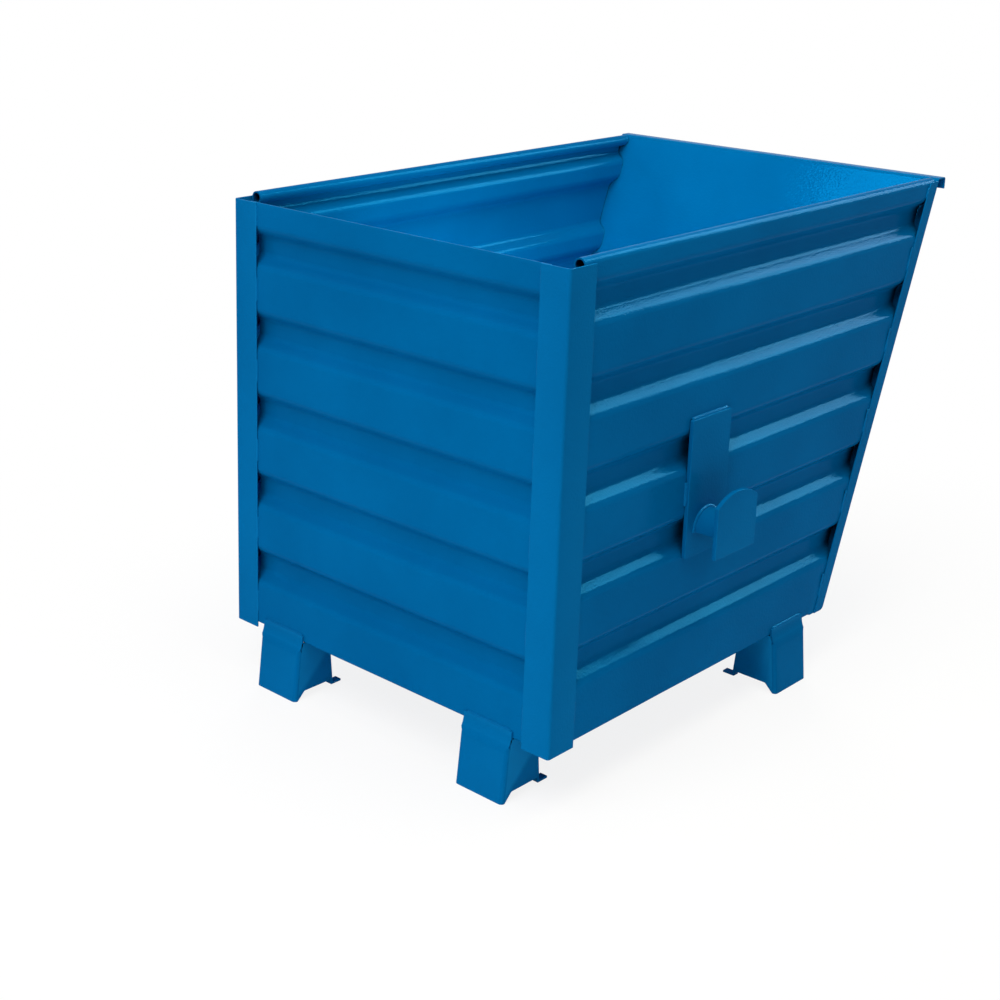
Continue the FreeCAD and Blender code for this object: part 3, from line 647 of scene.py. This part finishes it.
@dataclass
class StackingFoot(Bench):
    """A foot folded from one blank: stepped plate, two arched webs, rear flanges and tabs.

    In its own frame +X points away from the wall and X is zero on the wall's outer face.
    """

    name: str = "foot_pattern"
    width: float = 110.0
    sheet: float = 4.0
    lap: float = 15.0
    step: float = 9.0
    step_height: float = 18.0
    flare: float = 10.5
    ground_return: float = 4.0
    arch: float = 17.0
    arch_run: float = 18.0
    # From here back the webs rise to the wall's bottom edge.
    web_start: float = 5.0
    depth_top: float = 68.0
    depth_bottom: float = 79.0
    rear_flange: float = 15.0
    tab: float = 21.0
    tab_rise: float = 6.0
    fold: float = 7.5
    step_setback: float = 8.5

    def rear(self, level: float) -> float:
        """X of the rear face at a level."""
        return (self.depth_bottom - self.depth_top) * level / SKIP.panel_bottom - self.depth_bottom

    def build(self) -> Piece:
        """Fold one foot, in its own frame.

        Returns:
            The finished pattern, which the four feet are copied from.
        """
        top = SKIP.panel_bottom + self.lap
        self.open_sheet(self.name, at(0, 0, top / 2), self.width, top, Facing.FRONT)
        self._shape_plate()
        self._draw_webs()
        self._round_plate()
        self._cut_arch()
        self._turn_rear()
        self.face_outward(FORWARD)
        return self.finish(FOLDED_EDGE, segments=2, sheet=self.sheet)

    @property
    def shoulder(self) -> float:
        """Level of the foot of the step."""
        return SKIP.panel_bottom - self.step_height

    @property
    def step_face(self) -> float:
        """X of the plate's outer face below the step."""
        return self.sheet + self.step

    @property
    def toe(self) -> float:
        """X of the plate's outer face on the ground."""
        return self.step_face + self.flare

    def on_web(self, place: Vector, side: int) -> bool:
        """Whether a point lies on the outer face of one side's web."""
        return same(place.y, side * self.width / 2)

    def _shape_plate(self) -> None:
        """Step the front plate out from the wall and lean it."""
        for level in (SKIP.panel_bottom, self.shoulder):
            self.cut(at(0, 0, level), UP)
        self.pick(POINT, lambda place: place.z > SKIP.panel_bottom - NEAR_ENOUGH)
        self.move(FORWARD * self.sheet)
        self.pick(POINT, lambda place: same(place.z, self.shoulder))
        self.move(FORWARD * self.step_face)
        self.pick(POINT, lambda place: same(place.z, 0.0))
        self.move(FORWARD * self.toe)

    def _draw_webs(self) -> None:
        """Draw the webs back from the plate's ends, in two steps, and raise them behind web_start."""
        for side in (-1, 1):
            self.pick(EDGE, lambda place: self.on_web(place, side)
                      and place.z < self.shoulder + NEAR_ENOUGH)
            self.extrude(-FORWARD * (self.step_face - self.web_start))
            self.extrude(-FORWARD * (self.web_start - self.rear(self.shoulder)))
            self.pick(EDGE, lambda place: self.on_web(place, side) and same(place.z, self.shoulder)
                      and place.x < self.web_start + NEAR_ENOUGH, FORWARD)
            self.extrude(UP * self.step_height)
        self.pick(POINT, lambda place: same(place.z, 0.0) and place.x < 0)
        self.move(FORWARD * (self.rear(0.0) - self.rear(self.shoulder) - self.flare))
        self.pick(POINT, lambda place: same(place.z, SKIP.panel_bottom) and place.x < -self.depth_top)
        self.move(FORWARD * (self.rear(SKIP.panel_bottom) - self.rear(self.shoulder)))

    def _cut_arch(self) -> None:
        """Cut the arch that a rim passes through out of both webs."""
        start = self.toe - self.sheet - self.ground_return
        slant = Vector((self.arch, 0.0, self.arch_run)).normalized()
        for side in (-1, 1):
            self.pick(FACE, lambda place: self.on_web(place, side))
            self.cut(at(0, 0, self.arch), UP, picked=True)
            self.pick(FACE, lambda place: self.on_web(place, side))
            self.cut(at(start, 0, 0), slant, picked=True)
            self.pick(FACE, lambda place: self.on_web(place, side) and place.z < self.arch + NEAR_ENOUGH
                      and (place - Vector((start, 0.0, 0.0))).dot(slant) < NEAR_ENOUGH)
            bpy.ops.mesh.delete(type="FACE")

    def _turn_rear(self) -> None:
        """Turn the rear flanges in and the tabs back."""
        for side in (-1, 1):
            self.pick(EDGE, lambda place: self.on_web(place, side)
                      and abs(place.x - self.rear(place.z)) < NEAR_SLANT)
            self.extrude(-FAR_WARD * side * self.rear_flange)
            self.pick(EDGE, lambda place: same(place.z, self.arch) and place.y * side > 0
                      and abs(place.x - self.rear(place.z)) < NEAR_SLANT, FAR_WARD)
            tab_top = self.tab_rise + self.sheet
            self.extrude(FORWARD * (self.rear(tab_top) - self.rear(self.arch)) - UP * (self.arch - tab_top))
            self.extrude(-FORWARD * (self.depth_bottom + self.tab + self.rear(tab_top)))

    def _round_plate(self) -> None:
        """Round the plate's folds to the webs and the steps of the plate."""
        for side in (-1, 1):
            self.pick(EDGE, lambda place: self.on_web(place, side)
                      and place.z < self.shoulder + NEAR_ENOUGH
                      and abs(place.x - self.toe + self.flare * place.z / self.shoulder) < NEAR_SLANT)
            self.round_picked(self.fold)
        for level in (SKIP.panel_bottom, self.shoulder):
            self.pick(EDGE, lambda place: same(place.z, level) and place.x > 0, FAR_WARD)
            self.round_picked(self.step_setback, segments=4)


@dataclass
class Trunnion(Bench):
    """Strap, half-tube saddle and arched ear that a lifting arm takes hold of."""

    name: str
    side: int
    strap_width: float = 119.0
    strap_sheet: float = 8.0
    strap_above: float = 212.0
    strap_below: float = 48.0
    strap_corner: float = 3.0
    saddle_radius: float = 38.0
    saddle_sheet: float = 6.0
    saddle_length: float = 57.0
    ear_width: float = 124.0
    ear_sheet: float = 8.0
    ear_above: float = 86.0
    ear_below: float = 31.0
    ear_crown: float = 103.0

    @property
    def strap_face(self) -> float:
        """Distance of the strap's outer face from the middle."""
        return SKIP.panel_side + self.strap_sheet

    @property
    def ear_seat(self) -> float:
        """Distance of the ear's inner face from the middle."""
        return self.strap_face + self.saddle_length

    def build_strap(self) -> Piece:
        """Flame-cut strap plate with its edges eased.

        Returns:
            The finished piece.
        """
        deselect()
        height = self.strap_above + self.strap_below
        middle_z = SKIP.trunnion_z - self.strap_below + height / 2
        middle_y = self.side * (SKIP.panel_side + self.strap_sheet / 2)
        bpy.ops.mesh.primitive_cube_add(size=1.0, location=at(SKIP.trunnion_x, middle_y, middle_z))
        bpy.context.object.scale = Vector((self.strap_width, self.strap_sheet, height)) * MM
        self.open(f"trunnion_strap_{self.name}_plate")
        self.pick(EDGE, lambda place: True, FAR_WARD)
        self.round_picked(self.strap_corner, segments=4)
        return self.finish(PLATE_EDGE)

    def build_saddle(self) -> Piece:
        """Half tube, open downwards, between strap and ear.

        Returns:
            The finished piece.
        """
        deselect()
        place = at(SKIP.trunnion_x, self.side * self.strap_face, SKIP.trunnion_z)
        bpy.ops.mesh.primitive_circle_add(vertices=96, radius=self.saddle_radius * MM, location=place,
                                          rotation=(math.pi / 2, 0.0, 0.0))
        self.open(f"trunnion_saddle_{self.name}_tube")
        self.cut(place, -UP, drop=True)
        self.pick(EDGE, lambda point: True)
        self.extrude(FAR_WARD * self.side * self.saddle_length)
        self.face_outward(UP)
        return self.finish(TUBE_EDGE, sheet=self.saddle_sheet)

    def build_ear(self) -> Piece:
        """Arched end plate, cut out of a round blank.

        Returns:
            The finished piece.
        """
        deselect()
        middle_y = self.side * (self.ear_seat + self.ear_sheet / 2)
        crown_z = SKIP.trunnion_z + self.ear_above - self.ear_crown
        bpy.ops.mesh.primitive_cylinder_add(
            vertices=160, radius=self.ear_crown * MM, depth=self.ear_sheet * MM,
            location=at(SKIP.trunnion_x, middle_y, crown_z), rotation=(math.pi / 2, 0.0, 0.0))
        self.open(f"trunnion_ear_{self.name}_plate")
        for side in (-1, 1):
            edge = at(SKIP.trunnion_x + side * self.ear_width / 2, middle_y, crown_z)
            self.cut(edge, FORWARD * side, drop=True, fill=True)
        self.cut(at(SKIP.trunnion_x, middle_y, SKIP.trunnion_z - self.ear_below), -UP, drop=True, fill=True)
        return self.finish(PLATE_EDGE)


@dataclass
class WeldBead:
    """A straight run of weld: where it starts and ends, in millimetres, and the ways that its legs point."""

    start: Vector
    end: Vector
    leg_one: Vector
    leg_two: Vector


@dataclass
class Welds(Bench):
    """Rippled weld metal of one node, laid one scale over the next. A ring has a centre and a Y way."""

    node: str
    leg: float
    beads: list[WeldBead] = field(default_factory=list)
    rings: list[tuple[Vector, int]] = field(default_factory=list)
    pitch: float = 2.4
    # Half sizes of a scale: along the run in pitches, across it and outward in legs.
    scale_run: float = 1.05
    scale_width: float = 0.80
    scale_height: float = 0.50
    # The older half of a scale is drawn out by these factors.
    tail: tuple[float, float, float] = (1.5, 0.9, 0.75)
    # How far a scale's middle stands off the corner, in legs.
    stand_off: float = 0.30

    @property
    def name(self) -> str:
        """Name of the finished piece."""
        return self.node + "_beads"

    def stitch(self, grooves: Sequence[float], x_at: Callable[[float], float], y: float, leg_one: Vector,
               leg_two: Vector, span: tuple[float, float] = (SKIP.panel_bottom, SKIP.wall_top)) -> None:
        """Add upright stitches on the flats beside a panel's grooves.

        Args:
            grooves: levels of the panel's grooves.
            x_at: gives the seam's X at a level.
            y: the seam's Y.
            leg_one: way that the first leg points.
            leg_two: way that the second leg points.
            span: lowest and highest level of the seam.
        """
        for low, high in stitch_levels(grooves):
            if low > span[0] and high < span[1]:
                start, end = (Vector((x_at(level), y, level)) for level in (low, high))
                self.beads.append(WeldBead(start, end, leg_one, leg_two))

    def build(self) -> Piece:
        """Lay all the runs and join them.

        Returns:
            The finished piece.
        """
        runs = [self._lay(bead) for bead in self.beads]
        runs += [self._lay_ring(centre, away) for centre, away in self.rings]
        deselect()
        for run in runs:
            run.select_set(True)
        bpy.context.view_layer.objects.active = runs[0]
        bpy.ops.object.join()
        made = bpy.context.object
        made.name = self.name
        made.data.name = self.name
        bpy.ops.object.shade_smooth_by_angle(angle=SHARP_ANGLE)
        return made

    def _open_scale(self) -> None:
        """Start from one scale of weld metal about the origin, with its tail drawn out along X."""
        deselect()
        bpy.ops.mesh.primitive_uv_sphere_add(segments=12, ring_count=8, radius=1.0)
        bpy.context.object.scale = Vector((self.pitch * self.scale_run, self.leg * self.scale_width,
                                           self.leg * self.scale_height)) * MM
        self.open(self.name + "_scale")
        self.pick(POINT, lambda place: place.x < -NEAR_ENOUGH)
        bpy.ops.transform.resize(value=self.tail, center_override=(0.0, 0.0, 0.0))

    def _seat(self, corner: Vector, along: Vector, out: Vector) -> None:
        """Turn a run that lies along X into its own direction and seat it in its corner.

        Args:
            corner: where it starts, in millimetres.
            along: unit vector along the run.
            out: unit vector midway between its legs.
        """
        bpy.ops.object.mode_set(mode="OBJECT")
        turn = Matrix((along, out.cross(along), out)).transposed().to_4x4()
        seat = (corner + out * (self.leg * self.stand_off)) * MM
        self.piece.matrix_world = Matrix.Translation(seat) @ turn
        bpy.ops.object.transform_apply(location=True, rotation=True, scale=True)

    def _lay(self, bead: WeldBead) -> Piece:
        """Repeat the scale along a straight run.

        Args:
            bead: where and how the run lies.

        Returns:
            The run.
        """
        self._open_scale()
        run = bead.end - bead.start
        count = max(2, round(run.length / self.pitch))
        self.modify("ARRAY", count=count, use_relative_offset=False, use_constant_offset=True,
                    constant_offset_displace=(run.length * MM / (count - 1), 0.0, 0.0))
        self._seat(bead.start, run.normalized(), (bead.leg_one + bead.leg_two).normalized())
        return self.piece

    def _lay_ring(self, centre: Vector, away: int) -> Piece:
        """Repeat the scale round the upper half of a saddle.

        Args:
            centre: point of the tube's axis on the plate, in millimetres.
            away: the Y way that leads from the plate along the tube.

        Returns:
            The run.
        """
        radius = Trunnion.saddle_radius
        self._open_scale()
        self._seat(centre + FORWARD * radius, UP, Vector((1.0, away, 0.0)).normalized())
        bpy.ops.object.mode_set(mode="EDIT")
        bpy.ops.mesh.select_all(action="SELECT")
        bpy.ops.mesh.spin(steps=round(math.pi * radius / self.pitch), dupli=True, angle=math.pi,
                          center=centre * MM, axis=FAR_WARD)
        bpy.ops.object.mode_set(mode="OBJECT")
        return self.piece


def stitch_levels(grooves: Sequence[float]) -> list[tuple[float, float]]:
    """Bottom and top levels of the stitches on the flats beside a panel's grooves.

    Args:
        grooves: levels of the groove middles, from the top one down.

    Returns:
        One pair of levels for each flat.
    """
    flats = []
    top = SKIP.wall_top
    for middle in grooves:
        flats.append((middle + GroovedPanel.groove_width / 2, top))
        top = middle - GroovedPanel.groove_width / 2
    flats.append((SKIP.panel_bottom + SKIP.fold + SKIP.sheet, top))
    made = []
    for bottom, top in flats:
        half = min(STITCH_LENGTH, top - bottom - 2 * BARE_END) / 2
        made.append(((bottom + top) / 2 - half, (bottom + top) / 2 + half))
    return made


def groove_levels(drop: float, rise: float, count: int = 5) -> list[float]:
    """Levels of groove middles, from one a drop below the wall's top to one a rise above its bottom."""
    pitch = (SKIP.wall_top - SKIP.panel_bottom - drop - rise) / (count - 1)
    return [SKIP.wall_top - drop - pitch * number for number in range(count)]


class LampRole(Enum):
    """What a lamp is hung for."""

    FILL = "lights the paint's body"
    GLINT = "is mirrored in the gloss"


@dataclass(frozen=True)
class Softbox:
    """A soft studio lamp that faces a point of the object. Its lengths are in metres."""

    name: str
    role: LampRole
    place: tuple[float, float, float]
    target: tuple[float, float, float]
    size: tuple[float, float]
    watts: float
    tint: str = "#ffffff"

    def build(self) -> None:
        """Hang the lamp."""
        data = bpy.data.lights.new(self.name, "AREA")
        data.shape = "RECTANGLE"
        data.size, data.size_y = self.size
        data.energy = self.watts
        data.color = linear(self.tint)[:3]
        lamp = bpy.data.objects.new(self.name, data)
        lamp.visible_glossy = self.role is LampRole.GLINT
        lamp.visible_diffuse = self.role is LampRole.FILL
        lamp.visible_camera = False
        bpy.context.scene.collection.objects.link(lamp)
        lamp.location = self.place
        lamp.rotation_euler = (Vector(self.target) - Vector(self.place)).to_track_quat("-Z", "Y").to_euler()


MIDDLE = (0.0, 0.0, 0.5)
LAMPS = (
    # High behind the skip, for the soft shading of the back wall.
    Softbox("back_softbox", LampRole.FILL, place=(-2.6, -0.4, 3.5), target=MIDDLE, size=(2.4, 2.4),
            watts=98.0),
    # Just over the floor, for the foot of the back wall.
    Softbox("low_back_softbox", LampRole.FILL, place=(-1.5, 0.0, 0.12), target=(-0.6, 0.0, 0.25),
            size=(1.6, 0.2), watts=1.5),
    # Over the near side.
    Softbox("top_softbox", LampRole.FILL, place=(-0.1, -0.7, 3.1), target=MIDDLE, size=(1.6, 1.6),
            watts=40.0, tint="#fffbe6"),
    # Past the chute, mirrored as stripes by the upward flanks of the near panel's grooves.
    Softbox("chute_softbox", LampRole.GLINT, place=(1.95, -1.0, 2.05), target=MIDDLE, size=(1.05, 1.45),
            watts=97.0, tint="#ffffcc"),
    # Inside the skip and out of sight, for the light that its walls throw on each other.
    Softbox("load_space_softbox", LampRole.FILL, place=(-0.25, -0.12, 0.6), target=(0.45, 0.35, 0.8),
            size=(0.4, 0.3), watts=5.0),
    # Over the mouth, mirrored as the sheen on the chute.
    Softbox("mouth_softbox", LampRole.GLINT, place=(-0.15, 0.12, 1.35), target=(0.58, -0.2, 0.95),
            size=(0.36, 0.3), watts=6.0, tint="#fff6e0"),
    # In front, for the sides that the photograph doesn't show.
    Softbox("front_softbox", LampRole.FILL, place=(2.4, 2.2, 1.1), target=MIDDLE, size=(2.0, 1.4),
            watts=60.0),
)


@dataclass
class Studio:
    """Plain pale floor, white surroundings and soft lamps. Lengths are in metres."""

    floor_size: float = 30.0
    floor_grey: str = "#f8f8f8"
    daylight: float = 0.36
    # The floor glows, less near the object, where its shadows show, and is plain white further out.
    shadow_reach: float = 0.7
    white_from: float = 1.7
    glow_near: float = 0.85

    def build(self) -> None:
        """Lay the floor, light the room and hang the lamps."""
        self._lay_floor()
        self._light_room()
        for lamp in LAMPS:
            lamp.build()

    def _lay_floor(self) -> None:
        """A large pale floor that keeps the object's shadow and shows white to the camera."""
        deselect()
        bpy.ops.mesh.primitive_plane_add(size=self.floor_size, location=(0.0, 0.0, 0.0))
        floor = bpy.context.object
        floor.name = "studio_floor"
        material = bpy.data.materials.new("matt white studio floor")
        material.use_nodes = True
        tree = material.node_tree
        tree.nodes.clear()
        place = add_node(tree, "ShaderNodeTexCoord").outputs["Object"]
        distance = add_node(tree, "ShaderNodeVectorMath", {"operation": "LENGTH"}, {0: place})
        glow = ramp(tree, distance.outputs["Value"], low=self.shadow_reach, high=self.white_from,
                    start=self.glow_near)
        share = add_node(tree, "ShaderNodeMath", {"operation": "MULTIPLY"}, {0: glow, 1: self._seen(tree)})
        paper = add_node(tree, "ShaderNodeBsdfDiffuse", {}, {"Color": linear(self.floor_grey)})
        white = add_node(tree, "ShaderNodeEmission", {}, {"Color": linear("#ffffff"), "Strength": 1.0})
        shader = add_node(tree, "ShaderNodeMixShader", {}, {
            0: share.outputs[0], 1: paper.outputs[0], 2: white.outputs[0]})
        add_node(tree, "ShaderNodeOutputMaterial", {}, {"Surface": shader.outputs[0]})
        floor.data.materials.append(material)

    @staticmethod
    def _seen(tree: Tree) -> Socket:
        """A socket that is 1 where the camera or a gloss looks at the surroundings."""
        path = add_node(tree, "ShaderNodeLightPath")
        return add_node(tree, "ShaderNodeMath", {"operation": "MAXIMUM"}, {
            0: path.outputs["Is Camera Ray"], 1: path.outputs["Is Glossy Ray"]}).outputs[0]

    def _light_room(self) -> None:
        """Even daylight on the object, and plain white where the camera or a gloss looks past it."""
        world = bpy.data.worlds.new("white studio")
        world.use_nodes = True
        bpy.context.scene.world = world
        tree = world.node_tree
        tree.nodes.clear()
        strength = ramp(tree, self._seen(tree), low=0.0, high=1.0, start=self.daylight)
        sky = add_node(tree, "ShaderNodeBackground", {}, {"Color": linear("#ffffff"), "Strength": strength})
        add_node(tree, "ShaderNodeOutputWorld", {}, {"Surface": sky.outputs["Background"]})


@dataclass
class PhotoCamera:
    """The camera at the photograph's view. Its place is in millimetres and its angles in degrees."""

    place: tuple[float, float, float] = (-2652.0, -2006.5, 1542.7)
    azimuth: float = -135.82
    elevation: float = 15.81
    roll: float = 0.98
    focal_px: float = 1709.5
    image_px: float = 1000.0
    sensor_mm: float = 36.0
    # The photograph is a crop. This is as much of its shift as keeps the skip in the other views.
    shift: tuple[float, float] = (0.11, -0.14)
    clip: tuple[float, float] = (0.05, 200.0)

    def build(self) -> None:
        """Set the camera up."""
        data = bpy.data.cameras.new("photo_camera")
        data.sensor_width = self.sensor_mm
        data.lens = self.focal_px / self.image_px * self.sensor_mm
        data.shift_x, data.shift_y = self.shift
        data.clip_start, data.clip_end = self.clip
        camera = bpy.data.objects.new("photo_camera", data)
        bpy.context.scene.collection.objects.link(camera)
        turn, tilt, roll = (math.radians(v) for v in (self.azimuth, self.elevation, self.roll))
        aim = (Matrix.Rotation(turn + math.pi / 2, 4, "Z") @ Matrix.Rotation(math.pi / 2 - tilt, 4, "X")
               @ Matrix.Rotation(roll, 4, "Z"))
        camera.matrix_world = Matrix.Translation(at(*self.place)) @ aim
        bpy.context.scene.camera = camera


@dataclass(frozen=True)
class FootPlace:
    """Where a foot hangs: its node, the wall that carries it, its turn, and its place in millimetres."""

    node: str
    wall: Facing
    turn: float
    x: float
    y: float


FEET = (
    FootPlace("foot_back_near", Facing.BACK, math.pi, SKIP.panel_back, -SKIP.foot_back_y),
    FootPlace("foot_back_far", Facing.BACK, math.pi, SKIP.panel_back, SKIP.foot_back_y),
    FootPlace("foot_side_near", Facing.NEAR, -math.pi / 2, SKIP.foot_side_x, -SKIP.panel_side),
    FootPlace("foot_side_far", Facing.FAR, math.pi / 2, SKIP.foot_side_x, SKIP.panel_side),
)


@dataclass
class TippingSkip:
    """The whole skip: builds every piece and dresses it."""

    finishes: dict[Slot, bpy.types.Material]
    back_grooves: list[float] = field(default_factory=lambda: groove_levels(drop=85.0, rise=123.0))
    side_grooves: list[float] = field(default_factory=lambda: groove_levels(drop=66.0, rise=142.0))

    def build(self) -> None:
        """Build the pieces in the order that a welder would."""
        self._panels()
        self._feet()
        self._trunnions()
        self._welds()
        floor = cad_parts["floor_pan"]
        floor.data.materials.clear()
        floor.data.materials.append(self.finishes[Slot.ENAMEL])
        LOG.info("floor_pan: painted")

    def _dress(self, piece: Piece, *nodes: str, slot: Slot = Slot.ENAMEL) -> None:
        """Give a piece its material and its body, and hide the nodes that it stands for.

        Args:
            piece: the finished piece.
            nodes: names of the nodes that it replaces.
            slot: the record's slot of its finish.
        """
        piece.data.materials.clear()
        piece.data.materials.append(self.finishes[slot])
        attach(piece, BODY)
        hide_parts(*nodes)
        LOG.info("%s: %d faces", piece.name, len(piece.data.polygons))

    def _panels(self) -> None:
        """Back wall, side panels, chute and corner angles."""
        half = SKIP.side - SKIP.panel_inset
        back = GroovedPanel("back_wall", Facing.BACK, -SKIP.panel_back, -half, half, SKIP.wall_top,
                            self.back_grooves, FAR_WARD, half)
        self._dress(back.build(), "back_wall")
        rim = SKIP.rim_top - GroovedPanel.bead / 2
        flange_end = SKIP.chute_inner(SKIP.panel_bottom + SKIP.sheet) - SKIP.flange_gap
        for name, facing in (("side_panel_near", Facing.NEAR), ("side_panel_far", Facing.FAR)):
            panel = GroovedPanel(name, facing, SKIP.panel_side, SKIP.back + SKIP.panel_inset, SKIP.blank_end,
                                 rim, self.side_grooves, FORWARD, flange_end, rolled_rim=True)
            self._dress(panel.build(), name)
        self._dress(ChuteWall().build(), "chute_wall")
        for name, side in SIDES.items():
            self._dress(CornerAngle("corner_angle_" + name, side).build(), "corner_angle_" + name)

    def _feet(self) -> None:
        """Four copies of one foot, each with a mesh of its own."""
        pattern = StackingFoot().build()
        for foot in FEET:
            mesh = pattern.data.copy()
            mesh.name = foot.node + "_sheet"
            mesh.transform(Matrix.Translation(at(foot.x, foot.y, 0)) @ Matrix.Rotation(foot.turn, 4, "Z"))
            piece = bpy.data.objects.new(mesh.name, mesh)
            bpy.context.scene.collection.objects.link(piece)
            self._dress(piece, foot.node)
        bpy.data.objects.remove(pattern)

    def _trunnions(self) -> None:
        """Both trunnions."""
        for name, side in SIDES.items():
            trunnion = Trunnion(name, side)
            self._dress(trunnion.build_strap(), "trunnion_strap_" + name)
            self._dress(trunnion.build_saddle(), "trunnion_saddle_" + name)
            self._dress(trunnion.build_ear(), "trunnion_ear_" + name)

    def _welds(self) -> None:
        """Weld groups of each side, and a lap weld along the top edge of each foot."""
        groups = []
        for name, side in SIDES.items():
            groups += self._side_welds(name, side)
        laps = Welds("foot_welds", leg=4.0)
        half = StackingFoot.width / 2 - BARE_END
        for foot in FEET:
            middle = Vector((foot.x, foot.y, SKIP.panel_bottom + StackingFoot.lap))
            reach = (FAR_WARD if foot.wall is Facing.BACK else FORWARD) * half
            laps.beads.append(WeldBead(middle - reach, middle + reach, foot.wall.outward, UP))
        for welds in groups + [laps]:
            self._dress(welds.build(), welds.node, slot=Slot.WELD)

    def _side_welds(self, name: str, side: int) -> list[Welds]:
        """Stitches along one side's corner angle and chute flange, and the welds of its trunnion.

        Args:
            name: the side's name.
            side: its Y way.

        Returns:
            The three weld groups.
        """
        out = FAR_WARD * side
        face = side * SKIP.panel_side
        corner = Welds("corner_welds_" + name, leg=3.0)
        corner.stitch(self.back_grooves, lambda level: SKIP.panel_back,
                      side * (SKIP.side - CornerAngle.back_leg), -FORWARD, -out)
        corner.stitch(self.side_grooves, lambda level: SKIP.back + CornerAngle.side_leg, face, out, FORWARD)
        chute = Welds("chute_welds_" + name, leg=3.0)
        chute.stitch(self.side_grooves, lambda level: SKIP.chute_inner(level) - ChuteWall.flange, face, out,
                     -FORWARD)
        hold = Welds("trunnion_welds_" + name, leg=5.0)
        trunnion = Trunnion(name, side)
        top = SKIP.trunnion_z + trunnion.strap_above
        bottom = SKIP.trunnion_z - trunnion.strap_below
        half = trunnion.strap_width / 2
        for end in (-1, 1):
            hold.stitch(self.side_grooves, lambda level: SKIP.trunnion_x + end * half, face, out,
                        FORWARD * end, span=(bottom, top))
        left, right = (Vector((SKIP.trunnion_x + end * (half - BARE_END), face, top)) for end in (-1, 1))
        hold.beads.append(WeldBead(left, right, out, UP))
        for seat, away in ((trunnion.strap_face, side), (trunnion.ear_seat, -side)):
            hold.rings.append((Vector((SKIP.trunnion_x, side * seat, SKIP.trunnion_z)), away))
        return [corner, chute, hold]


def main() -> None:
    """Build the skip, the studio and the camera."""
    logging.basicConfig(level=logging.INFO, format="%(message)s")
    bpy.context.scene.view_settings.view_transform = "Standard"
    PhotoCamera().build()
    bright_welds = Enamel("sprayed alkyd enamel on weld metal", tinted_gloss=0.2, clear_gloss=0.04)
    TippingSkip({Slot.ENAMEL: Enamel().build(), Slot.WELD: bright_welds.build()}).build()
    Studio().build()


if __name__ == "__main__":
    main()
